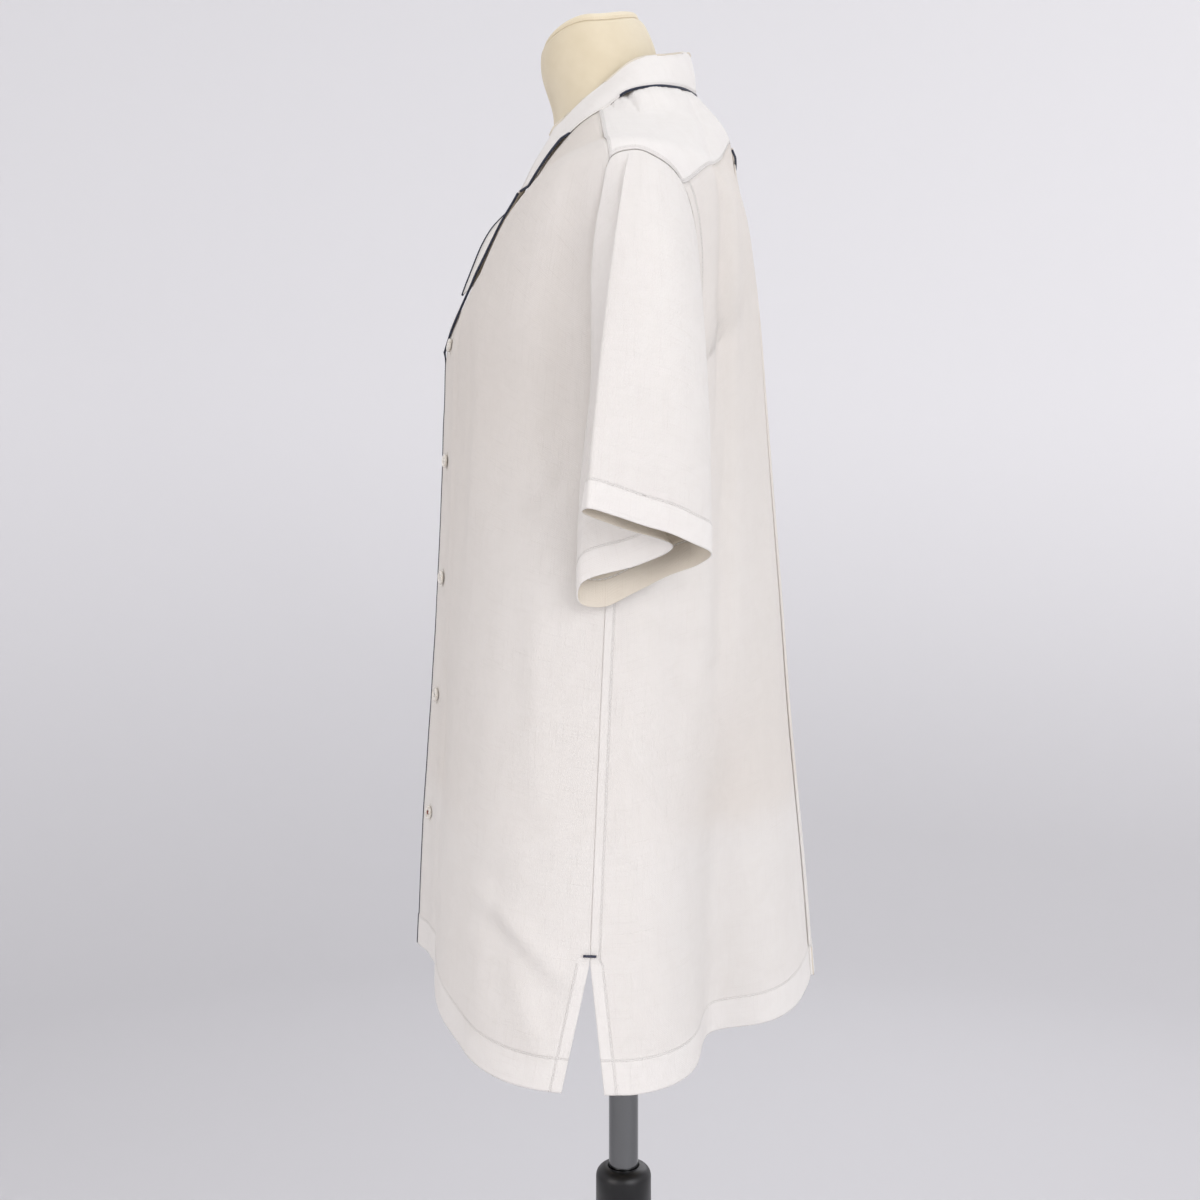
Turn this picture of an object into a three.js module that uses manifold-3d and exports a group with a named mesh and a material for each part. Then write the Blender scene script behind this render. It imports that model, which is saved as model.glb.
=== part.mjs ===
// A camp-collar shirt of white linen on a limbless dress form with a telescoping stand.
// Millimetres. +Z is up, the wearer faces -Y and the wearer's left is +X.
// The origin is on the floor under the middle of the pole.
import * as THREE from 'three';
import Module from 'manifold-3d';
import { mergeVertices } from 'three/addons/utils/BufferGeometryUtils.js';

const wasm = await Module();
wasm.setup();

// Driving dimensions of the cloth
const WALL = 1.5;
const SEAM_GAP = 0.45;
const LAP_LIFT = 3.3; // how far the left front stands off the right one where they lap
const EDGE_CURL = 4; // how much more its free edge stands off
const LAP_HALF = 16; // each front runs this far past the centre line
const PIPING = 1.8; // diameter of the piping cord
const PLEAT_REACH = 33; // distance from the centre of the back where the box pleat has run out

// Driving dimensions of the buttons
const BUTTON = { diameter: 11.5, thickness: 2.6, rim: 1.3, dish: 0.7, holeSpread: 1.5, hole: 1.7, seat: 0.4 };
const BUTTON_HEIGHTS = [1318, 1220, 1121, 1022, 922];
const BUTTON_ACROSS = 2;

// Driving dimensions of the stand
const POLE = { radius: 12.5, bottom: 380, socket: 80 };
const CLAMP = { radius: 23.4, top: 622, height: 66, shoulder: 9, clearance: 0.35, skirt: 40 };
const TUBE = { radius: 16, bore: 13.2 };
const BASE = { radius: 200, rim: 9, crown: 22, hub: 34 };
const BUST_BOTTOM = 935;

const COLOURS = {
  linen: 0xf3f1ee, navy: 0x232a3a, shell: 0xeee9df, jersey: 0xe6dcc2, chrome: 0xc9cbce, black: 0x1d1d1f,
};

const named = (columns, rows) =>
  rows.map((row) => Object.fromEntries(columns.map((name, i) => [name, row[i]])));
const mix = (a, b, w) => a + (b - a) * w;
const clamp = (w) => Math.min(Math.max(w, 0), 1);
const ease = (w) => clamp(w) ** 2 * (3 - 2 * clamp(w));
const radians = THREE.MathUtils.degToRad;
const point = (p) => new THREE.Vector3(...p);

// Horizontal rings of the shirt's body. t runs from the hem to the neckline. A ring rises or falls
// from its front to its side to its back; half is its half width, front and back are its depths from
// the pole, a power of 1 is an ellipse, less is boxier and more is leaner. With a higher rise only
// the middle of the front lies up at zFront.
const BODY_RINGS = named(
  ['t', 'zFront', 'zSide', 'zBack', 'half', 'front', 'back', 'frontPower', 'backPower', 'keel', 'rise'],
  [
    [0, 806, 773, 790, 237, 155, 158, 0.76, 1.3, 14, 4],
    [0.13, 884, 868, 876, 234, 153, 151, 0.78, 1.26, 13, 4],
    [0.3, 1000, 995, 1000, 228, 147, 139, 0.84, 1.18, 12, 2],
    [0.45, 1102, 1100, 1102, 222, 143, 131, 0.9, 1.1, 10, 2],
    [0.58, 1200, 1190, 1200, 218, 140, 123, 0.96, 1.04, 9, 2],
    [0.66, 1262, 1248, 1264, 217, 139, 118, 1, 1, 8, 2],
    [0.75, 1330, 1336, 1340, 230, 136, 112, 1, 1, 5, 2],
    [0.84, 1390, 1430, 1405, 240, 109, 104, 1, 1, 0, 2],
    [0.9, 1425, 1455, 1452, 184, 87, 94, 1, 1, 0, 2],
    [0.95, 1450, 1481, 1496, 126, 76, 85, 1, 1, 0, 2],
    [1, 1462, 1512, 1541, 65, 71, 46, 1, 1, 0, 2],
  ],
);
const KEEL = { x: -18, width: 32 }; // the free front edge stands forward as a soft ridge

// Largest folds, as valleys in the body. Angles are in degrees from the centre front towards the
// wearer's left; depth in mm at the fold's lower and upper end.
const FOLDS = named(
  ['angle', 'drift', 'width', 'depthLow', 'depthHigh', 'from', 'to'],
  [
    [129, -5, 12, 66, 0, -0.2, 0.5],
    [-126, 6, 14, 46, 0, -0.2, 0.55],
    [67, 5, 7, 4, 8, 0.56, 0.9],
    [-64, -4, 8, 3, 9, 0.5, 0.9],
    [38, 6, 9, 6, 0, -0.3, 0.42],
    [-33, -8, 10, 8, 0, -0.3, 0.5],
    [121, 17, 4.5, 7, 9, 0.28, 1.12],
    [-121, -15, 5, 5, 8, 0.3, 1.12],
  ],
);

function readTable(rows, column, t) {
  const last = rows.length - 1;
  let i = 0;
  while (i < last - 1 && t > rows[i + 1].t) i += 1;
  const slope = (k) => {
    const before = rows[Math.max(k - 1, 0)];
    const after = rows[Math.min(k + 1, last)];
    return (after[column] - before[column]) / (after.t - before.t);
  };
  const step = rows[i + 1].t - rows[i].t;
  const w = clamp((t - rows[i].t) / step);
  const arrive = w * w * (3 - 2 * w);
  const leaving = w * (1 - w) ** 2 * step * slope(i);
  const arriving = w * w * (w - 1) * step * slope(i + 1);
  return mix(rows[i][column], rows[i + 1][column], arrive) + leaving + arriving;
}

function foldDepth(t, angle) {
  let depth = 0;
  for (const fold of FOLDS) {
    const along = (t - fold.from) / (fold.to - fold.from);
    if (along <= 0 || along >= 1) continue;
    const fade = ease(along * 5) * ease((1 - along) * 2.2);
    const middle = fold.angle + fold.drift * along;
    const away = (THREE.MathUtils.radToDeg(angle) - middle) / fold.width;
    depth += mix(fold.depthLow, fold.depthHigh, along) * fade * Math.exp(-away * away);
  }
  return depth;
}

// A point of the shirt's body without its folds, at the ring t and the angle from the centre front.
function plainBody(t, angle) {
  const read = (column) => readTable(BODY_RINGS, column, t);
  const [s, c] = [Math.sin(angle), Math.cos(angle)];
  const face = c > 0 ? 'front' : 'back';
  const power = read(`${face}Power`);
  const x = read('half') * Math.sign(s) * Math.abs(s) ** power;
  const y = -Math.sign(c) * read(face) * Math.abs(c) ** power;
  const z = face === 'front'
    ? mix(read('zSide'), read('zFront'), c ** read('rise'))
    : mix(read('zSide'), read('zBack'), c * c);
  return new THREE.Vector3(x, y, z);
}

function body(t, angle) {
  const p = plainBody(t, angle);
  const radius = Math.hypot(p.x, p.y);
  const shrink = 1 - foldDepth(t, angle) / radius;
  p.x *= shrink;
  p.y *= shrink;
  if (Math.cos(angle) > 0) {
    p.y -= readTable(BODY_RINGS, 'keel', t) * Math.exp(-(((p.x - KEEL.x) / KEEL.width) ** 2));
  }
  return p;
}

function outward(surface, t, angle) {
  const across = surface(t, angle + 0.004).sub(surface(t, angle - 0.004));
  const up = surface(Math.min(t + 0.002, 1), angle).sub(surface(Math.max(t - 0.002, 0), angle));
  return across.cross(up).normalize();
}

function ringAngleAtX(t, x, face) {
  const power = readTable(BODY_RINGS, `${face}Power`, t);
  const s = Math.sign(x) * (Math.abs(x) / readTable(BODY_RINGS, 'half', t)) ** (1 / power);
  return face === 'front' ? Math.asin(s) : Math.PI - Math.asin(s);
}

function ringAngleAtY(t, y) {
  const face = y < 0 ? 'front' : 'back';
  const power = readTable(BODY_RINGS, `${face}Power`, t);
  const c = (Math.abs(y) / readTable(BODY_RINGS, face, t)) ** (1 / power);
  return face === 'front' ? Math.acos(c) : Math.PI - Math.acos(c);
}

function ringAtFrontHeight(z) {
  let [low, high] = [0, 1];
  for (let i = 0; i < 30; i += 1) {
    const middle = (low + high) / 2;
    if (readTable(BODY_RINGS, 'zFront', middle) < z) low = middle;
    else high = middle;
  }
  return low;
}

// Seams of the body, for the wearer's left side; the right side mirrors them.
const VENT_TOP = 0.125;
const BREAK = ringAtFrontHeight(1312); // where the lapel starts to turn out
const FOLD_TOP_X = 37;
const UNDERARM = 0.66;
const ARMHOLE = named(['ring', 'angle'], [
  [0.66, 86], [0.685, 84.5], [0.72, 84], [0.77, 83.5], [0.81, 83], [0.833, 83],
  [0.84, 90], [0.838, 98], [0.82, 111], [0.77, 117], [0.71, 114], [0.675, 103], [0.66, 86],
]).map((row, i) => ({ ...row, t: i }));
const FRONT_CORNER = 5; // row of ARMHOLE where the forward shoulder seam ends
const YOKE_CORNER = 8; // row of ARMHOLE where the back yoke seam ends
const YOKE_CENTRE = 0.934; // ring of the back yoke seam at the centre of the back
const NECK_SEAM_ANGLE = 72; // where the forward shoulder seam meets the neckline

const armholeAt = (row) => ({
  t: readTable(ARMHOLE, 'ring', row),
  angle: radians(readTable(ARMHOLE, 'angle', row)),
});

const sideSeamY = (t) => mix(-27, -10, clamp((t - VENT_TOP) / (UNDERARM - VENT_TOP)));

// The side edge of a panel below the armhole: the seam, and the vent's flap below it.
function sideEdge(t, flapY) {
  const open = clamp((VENT_TOP - t) / VENT_TOP);
  return { t, angle: ringAngleAtY(t, mix(sideSeamY(t), flapY, open)) };
}

// The front edge: straight up past the buttons, then along the lapel's fold to the neckline.
function frontEdgeX(t) {
  return mix(-LAP_HALF, FOLD_TOP_X, clamp((t - BREAK) / (1 - BREAK)));
}

function lapLift(side, x) {
  return side > 0 ? LAP_LIFT * ease((44 - x) / 24) + EDGE_CURL * clamp((12 - x) / 28) ** 2 : 0;
}

// Meshes from grids. A grid cell is the outer and the inner point of the wall; going along a row
// and then up a column turns the outer face outwards.
function wallGeometry(grid, closed = false) {
  const [rows, columns] = [grid.length, grid[0].length];
  const positions = [];
  for (const layer of ['outer', 'inner']) {
    for (const row of grid) for (const cell of row) positions.push(...cell[layer].toArray());
  }
  const triangles = [];
  const at = (i, j, layer) => layer * rows * columns + j * columns + (i % columns);
  const quad = (a, b, c, d) => triangles.push(a, b, c, a, c, d);
  const spans = closed ? columns : columns - 1;
  for (let i = 0; i < spans; i += 1) {
    for (let j = 0; j < rows - 1; j += 1) {
      quad(at(i, j, 0), at(i + 1, j, 0), at(i + 1, j + 1, 0), at(i, j + 1, 0));
      quad(at(i, j, 1), at(i, j + 1, 1), at(i + 1, j + 1, 1), at(i + 1, j, 1));
    }
    quad(at(i, 0, 1), at(i + 1, 0, 1), at(i + 1, 0, 0), at(i, 0, 0));
    quad(at(i, rows - 1, 0), at(i + 1, rows - 1, 0), at(i + 1, rows - 1, 1), at(i, rows - 1, 1));
  }
  if (!closed) {
    const end = columns - 1;
    for (let j = 0; j < rows - 1; j += 1) {
      quad(at(0, j, 0), at(0, j + 1, 0), at(0, j + 1, 1), at(0, j, 1));
      quad(at(end, j, 1), at(end, j + 1, 1), at(end, j + 1, 0), at(end, j, 0));
    }
  }
  return indexed(positions, triangles);
}

function indexed(positions, triangles) {
  const geometry = new THREE.BufferGeometry();
  geometry.setAttribute('position', new THREE.Float32BufferAttribute(positions, 3));
  geometry.setIndex(triangles);
  return geometry;
}

// A solid through closed rings of equal length, with a flat fan at each end.
function ringSolid(rings) {
  const count = rings[0].length;
  const positions = rings.flat().flatMap((p) => p.toArray());
  const triangles = [];
  const at = (i, j) => j * count + (i % count);
  for (let j = 0; j < rings.length - 1; j += 1) {
    for (let i = 0; i < count; i += 1) {
      triangles.push(at(i, j), at(i + 1, j), at(i + 1, j + 1));
      triangles.push(at(i, j), at(i + 1, j + 1), at(i, j + 1));
    }
  }
  for (const [j, turn] of [[0, -1], [rings.length - 1, 1]]) {
    const centre = positions.length / 3;
    const middle = rings[j].reduce((sum, p) => sum.add(p), new THREE.Vector3()).divideScalar(count);
    positions.push(...middle.toArray());
    for (let i = 0; i < count; i += 1) {
      const rim = turn > 0 ? [at(i, j), at(i + 1, j)] : [at(i + 1, j), at(i, j)];
      triangles.push(centre, ...rim);
    }
  }
  return indexed(positions, triangles);
}

function toSolid(geometry) {
  const bare = geometry.clone();
  bare.deleteAttribute('normal');
  bare.deleteAttribute('uv');
  const merged = mergeVertices(bare, 1e-3);
  return new wasm.Manifold(new wasm.Mesh({
    numProp: 3,
    vertProperties: new Float32Array(merged.attributes.position.array),
    triVerts: new Uint32Array(merged.index.array),
  }));
}

function fromSolid(solid) {
  const mesh = solid.getMesh();
  return indexed(Array.from(mesh.vertProperties), Array.from(mesh.triVerts));
}

// Numbers from just past 0 to just short of 1, so that a panel stops short of its seams.
function seamed(count, length, gap = SEAM_GAP) {
  const inset = gap / 2 / length;
  return Array.from({ length: count + 1 }, (_, i) => mix(inset, 1 - inset, i / count));
}

// Rows of a side panel: few up to the underarm, closer together beside the curved armhole.
function panelRows(low, high, share, length) {
  const below = Array.from({ length: low }, (_, i) => (share * i) / low);
  const above = Array.from({ length: high + 1 }, (_, i) => mix(share, 1, i / high));
  const inset = SEAM_GAP / 2 / length;
  return [...below, ...above].map((v) => mix(inset, 1 - inset, v));
}

// A panel of the body as a wall: place gives the ring, the angle and how far it stands off.
function bodyPanel(us, vs, place) {
  return vs.map((v) => us.map((u) => {
    const { t, angle, lift = 0 } = place(u, v);
    const outer = body(t, angle);
    const normal = outward(body, t, angle);
    outer.addScaledVector(normal, lift);
    return { outer, inner: outer.clone().addScaledVector(normal, -WALL), normal };
  }));
}

// A wall over any surface: its normals come from the surface itself.
function freePanel(us, vs, surface) {
  const step = 0.004;
  return vs.map((v) => us.map((u) => {
    const outer = surface(u, v);
    const across = surface(clamp(u + step), v).sub(surface(clamp(u - step), v));
    const along = surface(u, clamp(v + step)).sub(surface(u, clamp(v - step)));
    const normal = across.cross(along).normalize();
    return { outer, inner: outer.clone().addScaledVector(normal, -WALL), normal };
  }));
}

// Fronts

const FRONT_COLUMNS = 15;
const NECK_SHARE = 0.22; // share of the front's top that lies along the neckline

function frontTop(u) {
  const foldTop = ringAngleAtX(1, FOLD_TOP_X, 'front');
  const neck = radians(NECK_SEAM_ANGLE);
  if (u < NECK_SHARE) return { t: 1, angle: mix(foldTop, neck, u / NECK_SHARE) };
  const along = (u - NECK_SHARE) / (1 - NECK_SHARE);
  const corner = armholeAt(FRONT_CORNER);
  return { t: mix(1, corner.t, along), angle: mix(neck, corner.angle, along) };
}

const SIDE_SHARE = 0.76; // share of the front's height that lies below the underarm

function frontSide(v) {
  if (v < SIDE_SHARE) return sideEdge((v / SIDE_SHARE) * UNDERARM, -47);
  return armholeAt(((v - SIDE_SHARE) / (1 - SIDE_SHARE)) * FRONT_CORNER);
}

function frontPlace(side) {
  return (u, v) => {
    const edge = { t: v, angle: ringAngleAtX(v, frontEdgeX(v), 'front') };
    const flank = frontSide(v);
    const top = frontTop(u);
    const topLine = {
      t: mix(1, armholeAt(FRONT_CORNER).t, u),
      angle: mix(ringAngleAtX(1, FOLD_TOP_X, 'front'), armholeAt(FRONT_CORNER).angle, u),
    };
    const rise = v ** 6;
    const t = mix(edge.t, flank.t, u) + rise * (top.t - topLine.t);
    const angle = mix(edge.angle, flank.angle, u) + rise * (top.angle - topLine.angle);
    const lift = lapLift(side, plainBody(t, angle).x);
    return { t, angle, lift };
  };
}

// The right side's panels are placed at negative angles, so that each side has its own folds.
function sidePanel(side, us, vs, place) {
  const columns = side > 0 ? us : [...us].reverse();
  return bodyPanel(columns, vs, (u, v) => {
    const spot = place(u, v);
    return { ...spot, angle: side * spot.angle };
  });
}

// Columns lie closer together near the buttoned edge, where the ridge turns sharply.
const frontUs = seamed(FRONT_COLUMNS, 330).map((u) => u * mix(0.35, 1, u ** 0.8));
const frontVs = panelRows(12, 8, SIDE_SHARE, 720);
const leftFront = sidePanel(1, frontUs, frontVs, frontPlace(1));
const rightFront = sidePanel(-1, frontUs, frontVs, frontPlace(-1));

// Yoke

function yokeSeamT(angle) {
  const corner = armholeAt(YOKE_CORNER);
  const pleat = ringAngleAtX(YOKE_CENTRE, PLEAT_REACH, 'back');
  const along = (angle - corner.angle) / (pleat - corner.angle);
  return mix(corner.t, YOKE_CENTRE, ease(along) ** 0.7);
}

const BACK_SIDE_COLUMNS = 18;

// Angle of a column of the back, between its side at the angle given and the pleat.
function backAngle(t, sideAngle, column) {
  return mix(sideAngle, ringAngleAtX(t, PLEAT_REACH, 'back'), column / BACK_SIDE_COLUMNS);
}

// The yoke's outer edge from the forward shoulder seam round to the centre back. Its corners on the
// back seam are those of the back's own columns, so that the two edges run side by side.
function yokeOuterEdge() {
  const tip = [0.06, 0.5, 1, 2].map((row) => armholeAt(FRONT_CORNER + row));
  const corner = armholeAt(YOKE_CORNER);
  const seam = Array.from({ length: BACK_SIDE_COLUMNS + 1 }, (_, column) => {
    const angle = backAngle(YOKE_CENTRE, corner.angle, column);
    return { t: yokeSeamT(angle), angle };
  });
  return [...tip, ...seam, { t: YOKE_CENTRE, angle: Math.PI }];
}

function yokeColumns() {
  const outer = yokeOuterEdge();
  const half = outer.map(({ t, angle }, i) => {
    const neckAngle = mix(radians(NECK_SEAM_ANGLE), Math.PI, (i / (outer.length - 1)) ** 1.1);
    return (v) => ({ t: mix(t, 1, v), angle: mix(angle, neckAngle, v) });
  });
  const far = half.slice(0, -1).reverse().map((column) => (v) => {
    const spot = column(v);
    return { t: spot.t, angle: 2 * Math.PI - spot.angle };
  });
  return [...half, ...far];
}

const yoke = bodyPanel(yokeColumns(), seamed(5, 100, 1.3), (column, v) => column(v));

// Back, with the box pleat: rows give where the cloth lies across from the centre line and how far
// out, where the pleat is stitched shut and where it hangs open.
const PLEAT = named(
  ['across', 'shut', 'open'],
  [
    [0, 4.8, 7], [17.5, 4.7, 6.4], [19.6, 4.3, 5.9], [20.4, 2.9, 4.6], [19.6, 1.5, 3],
    [17.5, 1, 2.2], [7, 1, 1.9], [4.2, 0.75, 1.4], [4.2, 0.2, 0.4], [7, 0, 0], [PLEAT_REACH, 0, 0],
  ],
);
const BACK_SHARE = 0.83; // share of the back's height that lies below the underarm

function backSide(v) {
  if (v < BACK_SHARE) return sideEdge((v / BACK_SHARE) * UNDERARM, -17);
  return armholeAt(mix(ARMHOLE.length - 1, YOKE_CORNER, (v - BACK_SHARE) / (1 - BACK_SHARE)));
}

function backPlace(side, column) {
  return (v) => {
    const centreT = v * YOKE_CENTRE;
    if (column > BACK_SIDE_COLUMNS) {
      const row = PLEAT[PLEAT.length - 1 - (column - BACK_SIDE_COLUMNS)];
      const angle = ringAngleAtX(centreT, row.across, 'back');
      return { t: centreT, angle: side * angle, lift: mix(row.open, row.shut, ease((v - 0.55) / 0.45)) };
    }
    const flank = backSide(v);
    const corner = armholeAt(YOKE_CORNER);
    const share = column / BACK_SIDE_COLUMNS;
    const angle = backAngle(centreT, flank.angle, column);
    const seamLine = yokeSeamT(Math.max(angle, corner.angle)) - mix(corner.t, YOKE_CENTRE, share);
    return { t: mix(flank.t, centreT, share) + v ** 8 * seamLine, angle: side * angle, lift: 0 };
  };
}

function backColumns() {
  const left = Array.from({ length: BACK_SIDE_COLUMNS + PLEAT.length }, (_, i) => ({ side: 1, column: i }));
  const right = left.slice(0, -1).reverse().map(({ column }) => ({ side: -1, column }));
  return [...left, ...right];
}

function backGrid() {
  const vs = panelRows(12, 6, BACK_SHARE, 690);
  const inset = SEAM_GAP / 2 / 15;
  const columns = backColumns();
  const outer = vs.map((v) => columns.map(({ side, column }) => {
    const { t, angle, lift } = backPlace(side, Math.max(column, inset))(v);
    const up = body(Math.min(t + 0.002, 1), angle).sub(body(Math.max(t - 0.002, 0), angle));
    return { p: body(t, angle).addScaledVector(outward(plainBody, t, angle), lift), up };
  }));
  return outer.map((row) => row.map(({ p, up }, i) => {
    const across = row[Math.min(i + 1, row.length - 1)].p.clone().sub(row[Math.max(i - 1, 0)].p);
    const normal = across.cross(up).normalize();
    return { outer: p, inner: p.clone().addScaledVector(normal, -WALL), normal };
  }));
}

const back = backGrid();

// Lapels: the facing turned out over the front between its fold and its piped edge.
const LAPELS = {
  left: { side: 1, start: 0.1, lift: 5, taper: 2.5, bow: 1.2 },
  right: { side: -1, start: 0.37, lift: 24, taper: 1, bow: 2.5 },
};
const NOTCH = { x: 64, t: 0.906 };

function lapelSurface({ side, lift, taper, bow }) {
  return (u, v) => {
    const fold = { x: mix(-LAP_HALF, FOLD_TOP_X - 1, v), t: mix(BREAK, 0.985, v) };
    const edge = { x: mix(-LAP_HALF, NOTCH.x, v), t: mix(BREAK, NOTCH.t, v) };
    const t = mix(fold.t, edge.t, u);
    const angle = ringAngleAtX(t, mix(fold.x, edge.x, u), 'front');
    const spot = body(t, side * angle);
    const stand = lift * ease(v * 1.1) ** taper * u ** 1.6 + bow * Math.sin(Math.PI * u) * v;
    const room = WALL + 1.1 + lapLift(side, mix(fold.x, edge.x, u)) + stand;
    return spot.addScaledVector(outward(plainBody, t, side * angle), room);
  };
}

function lapelGrid(lapel) {
  const us = lapel.side > 0 ? seamed(5, 60) : seamed(5, 60).reverse();
  const vs = seamed(9, 150).map((v) => mix(lapel.start, 1, v));
  const grid = freePanel(us, vs, lapelSurface(lapel));
  if (lapel.side > 0) return grid;
  return grid.map((row) => row.map((cell) => ({
    outer: cell.outer,
    inner: cell.outer.clone().addScaledVector(cell.normal, WALL),
    normal: cell.normal.clone().negate(),
  })));
}

const leftLapel = lapelGrid(LAPELS.left);
const rightLapel = lapelGrid(LAPELS.right);

// Collar: stations from the notch to the centre back. The seam is on the neckline at the angle
// given; fold is the top of the collar and edge is the free edge of its leaf.
const COLLAR = named(
  ['seamAngle', 'fold', 'edge'],
  [
    [38, [42, -60, 1487], [68, -84, 1437]],
    [43, [47, -56, 1493], [87, -63, 1447]],
    [50, [53, -47, 1500], [84, -45, 1472]],
    [62, [60, -33, 1512], [88, -22, 1494]],
    [76, [63, -16, 1525], [90, -2, 1510]],
    [95, [62, 8, 1544], [86, 22, 1517]],
    [122, [52, 34, 1551], [66, 44, 1521]],
    [150, [30, 50, 1559], [37, 57, 1524]],
    [180, [0, 55, 1565], [0, 62, 1529]],
  ],
);

const COLLAR_STATIONS = COLLAR.map((row, i) => ({
  t: i, seamAngle: row.seamAngle,
  foldX: row.fold[0], foldY: row.fold[1], foldZ: row.fold[2],
  edgeX: row.edge[0], edgeY: row.edge[1], edgeZ: row.edge[2],
}));

function collarStation(u) {
  const half = (u <= 0.5 ? u : 1 - u) * 2 * (COLLAR.length - 1);
  const read = (column) => readTable(COLLAR_STATIONS, column, half);
  const sign = u <= 0.5 ? 1 : -1;
  const angle = radians(read('seamAngle'));
  const seam = body(1, angle).addScaledVector(outward(body, 1, angle), -WALL - 0.4);
  seam.z += 2.8;
  return {
    seam: point([sign * seam.x, seam.y, seam.z]),
    fold: point([sign * read('foldX'), read('foldY'), read('foldZ')]),
    edge: point([sign * read('edgeX'), read('edgeY'), read('edgeZ')]),
  };
}

// Moves a point outwards where it is too close to the shirt's body for another wall to lie there.
const LEAF_ROOM = WALL + 1.7;
const shoulderSpots = [];
for (let t = 0.85; t <= 1; t += 0.005) {
  for (let angle = -180; angle < 180; angle += 3) {
    const turn = radians(angle);
    shoulderSpots.push({ spot: body(t, turn), normal: outward(body, t, turn) });
  }
}

function restOnBody(p) {
  let nearest = shoulderSpots[0];
  for (const candidate of shoulderSpots) {
    if (candidate.spot.distanceToSquared(p) < nearest.spot.distanceToSquared(p)) nearest = candidate;
  }
  const short = LEAF_ROOM - p.clone().sub(nearest.spot).dot(nearest.normal);
  return short > 0 ? p.addScaledVector(nearest.normal, short) : p;
}

// Across the collar: from the leaf's free edge up over the fold and down the stand to the seam.
function collarSurface(u, v) {
  const { seam, fold, edge } = collarStation(u);
  const away = new THREE.Vector3(fold.x, fold.y + 10, 0).normalize();
  const shoulder = (out, down) => fold.clone().addScaledVector(away, out).add(point([0, 0, -down]));
  const leafTop = shoulder(2.6, 2.4);
  const standTop = shoulder(-2.2, 2.6);
  const leafMiddle = restOnBody(edge.clone().lerp(leafTop, 0.5).addScaledVector(away, 1.5));
  const line = [restOnBody(edge), leafMiddle, leafTop, shoulder(1.3, 0.4), shoulder(-1, 0.4), standTop, seam];
  const at = v * (line.length - 1);
  const i = Math.min(Math.floor(at), line.length - 2);
  return line[i].clone().lerp(line[i + 1], at - i);
}

const COLLAR_SPANS = 28;
const COLLAR_LINES = 7;
const collar = smoothNormals(COLLAR_SPANS + 1, COLLAR_LINES, (i, j) =>
  collarSurface(i / COLLAR_SPANS, j / (COLLAR_LINES - 1)));

// A wall from grid points alone: each normal is taken from its neighbours in the grid.
function smoothNormals(columns, rows, surface, closed = false) {
  const outer = Array.from({ length: rows }, (_, j) =>
    Array.from({ length: columns }, (__, i) => surface(i, j)));
  const across = (i, j) => {
    const before = closed ? (i + columns - 1) % columns : Math.max(i - 1, 0);
    const after = closed ? (i + 1) % columns : Math.min(i + 1, columns - 1);
    return outer[j][after].clone().sub(outer[j][before]);
  };
  return outer.map((row, j) => row.map((p, i) => {
    const along = outer[Math.min(j + 1, rows - 1)][i].clone().sub(outer[Math.max(j - 1, 0)][i]);
    const normal = across(i, j).cross(along).normalize();
    return { outer: p, inner: p.clone().addScaledVector(normal, -WALL), normal };
  }));
}

// Sleeves: stations around the sleeve, with where each starts on the armhole (as a row of its
// table), where it is half way down and where it is at the hem. The front is dented inwards.
const SLEEVE = named(
  ['armhole', 'middle', 'hem'],
  [
    [6.7, [284, 14, 1303], [294, 9, 1170]],
    [6.4, [283, -2, 1306], [299, -12, 1177]],
    [6.05, [278, -15, 1306], [301, -27, 1181]],
    [5.7, [271, -17, 1303], [295, -32, 1179]],
    [5.2, [262, -19, 1296], [286, -8, 1169]],
    [4.5, [250, -22, 1284], [265, 29, 1155]],
    [3.6, [239, -25, 1266], [253, 8, 1143]],
    [2.7, [231, -29, 1243], [240, -33, 1129]],
    [1.6, [226, -31, 1216], [232, -34, 1115]],
    [0.7, [224, -18, 1194], [230, -18, 1112]],
    [0, [224, 4, 1188], [230, 4, 1122]],
    [-0.9, [227, 26, 1200], [238, 27, 1134]],
    [-1.8, [236, 45, 1226], [254, 48, 1143]],
    [-2.8, [254, 54, 1262], [270, 55, 1151]],
    [-3.8, [272, 45, 1288], [282, 42, 1158]],
    [-4.6, [281, 31, 1298], [289, 26, 1165]],
  ],
);
const ARMHOLE_ROWS = ARMHOLE.length - 1;

const ARMHOLE_CENTRE = point([214, 4, 1338]);
const ARMHOLE_ROOM = 2.2; // the sleeve starts this far inside the armhole's edge

function armholePoint(row, side) {
  const wrapped = ((row % ARMHOLE_ROWS) + ARMHOLE_ROWS) % ARMHOLE_ROWS;
  const { t, angle } = armholeAt(wrapped);
  const edge = body(t, side * angle);
  edge.x *= side;
  const inwards = ARMHOLE_CENTRE.clone().sub(edge).setX(0).normalize();
  return edge.addScaledVector(inwards, ARMHOLE_ROOM).add(point([2, 0, 0]));
}

// The place on the armhole where the sleeve's column at the share w of the way round starts.
function armholeRow(w) {
  const rows = [...SLEEVE.map((row) => row.armhole), SLEEVE[0].armhole - ARMHOLE_ROWS];
  const at = w * SLEEVE.length;
  const i = Math.min(Math.floor(at), SLEEVE.length - 1);
  return mix(rows[i], rows[i + 1], at - i);
}

const SLEEVE_AROUND = 32;
const SLEEVE_ROWS = 7;

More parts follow.
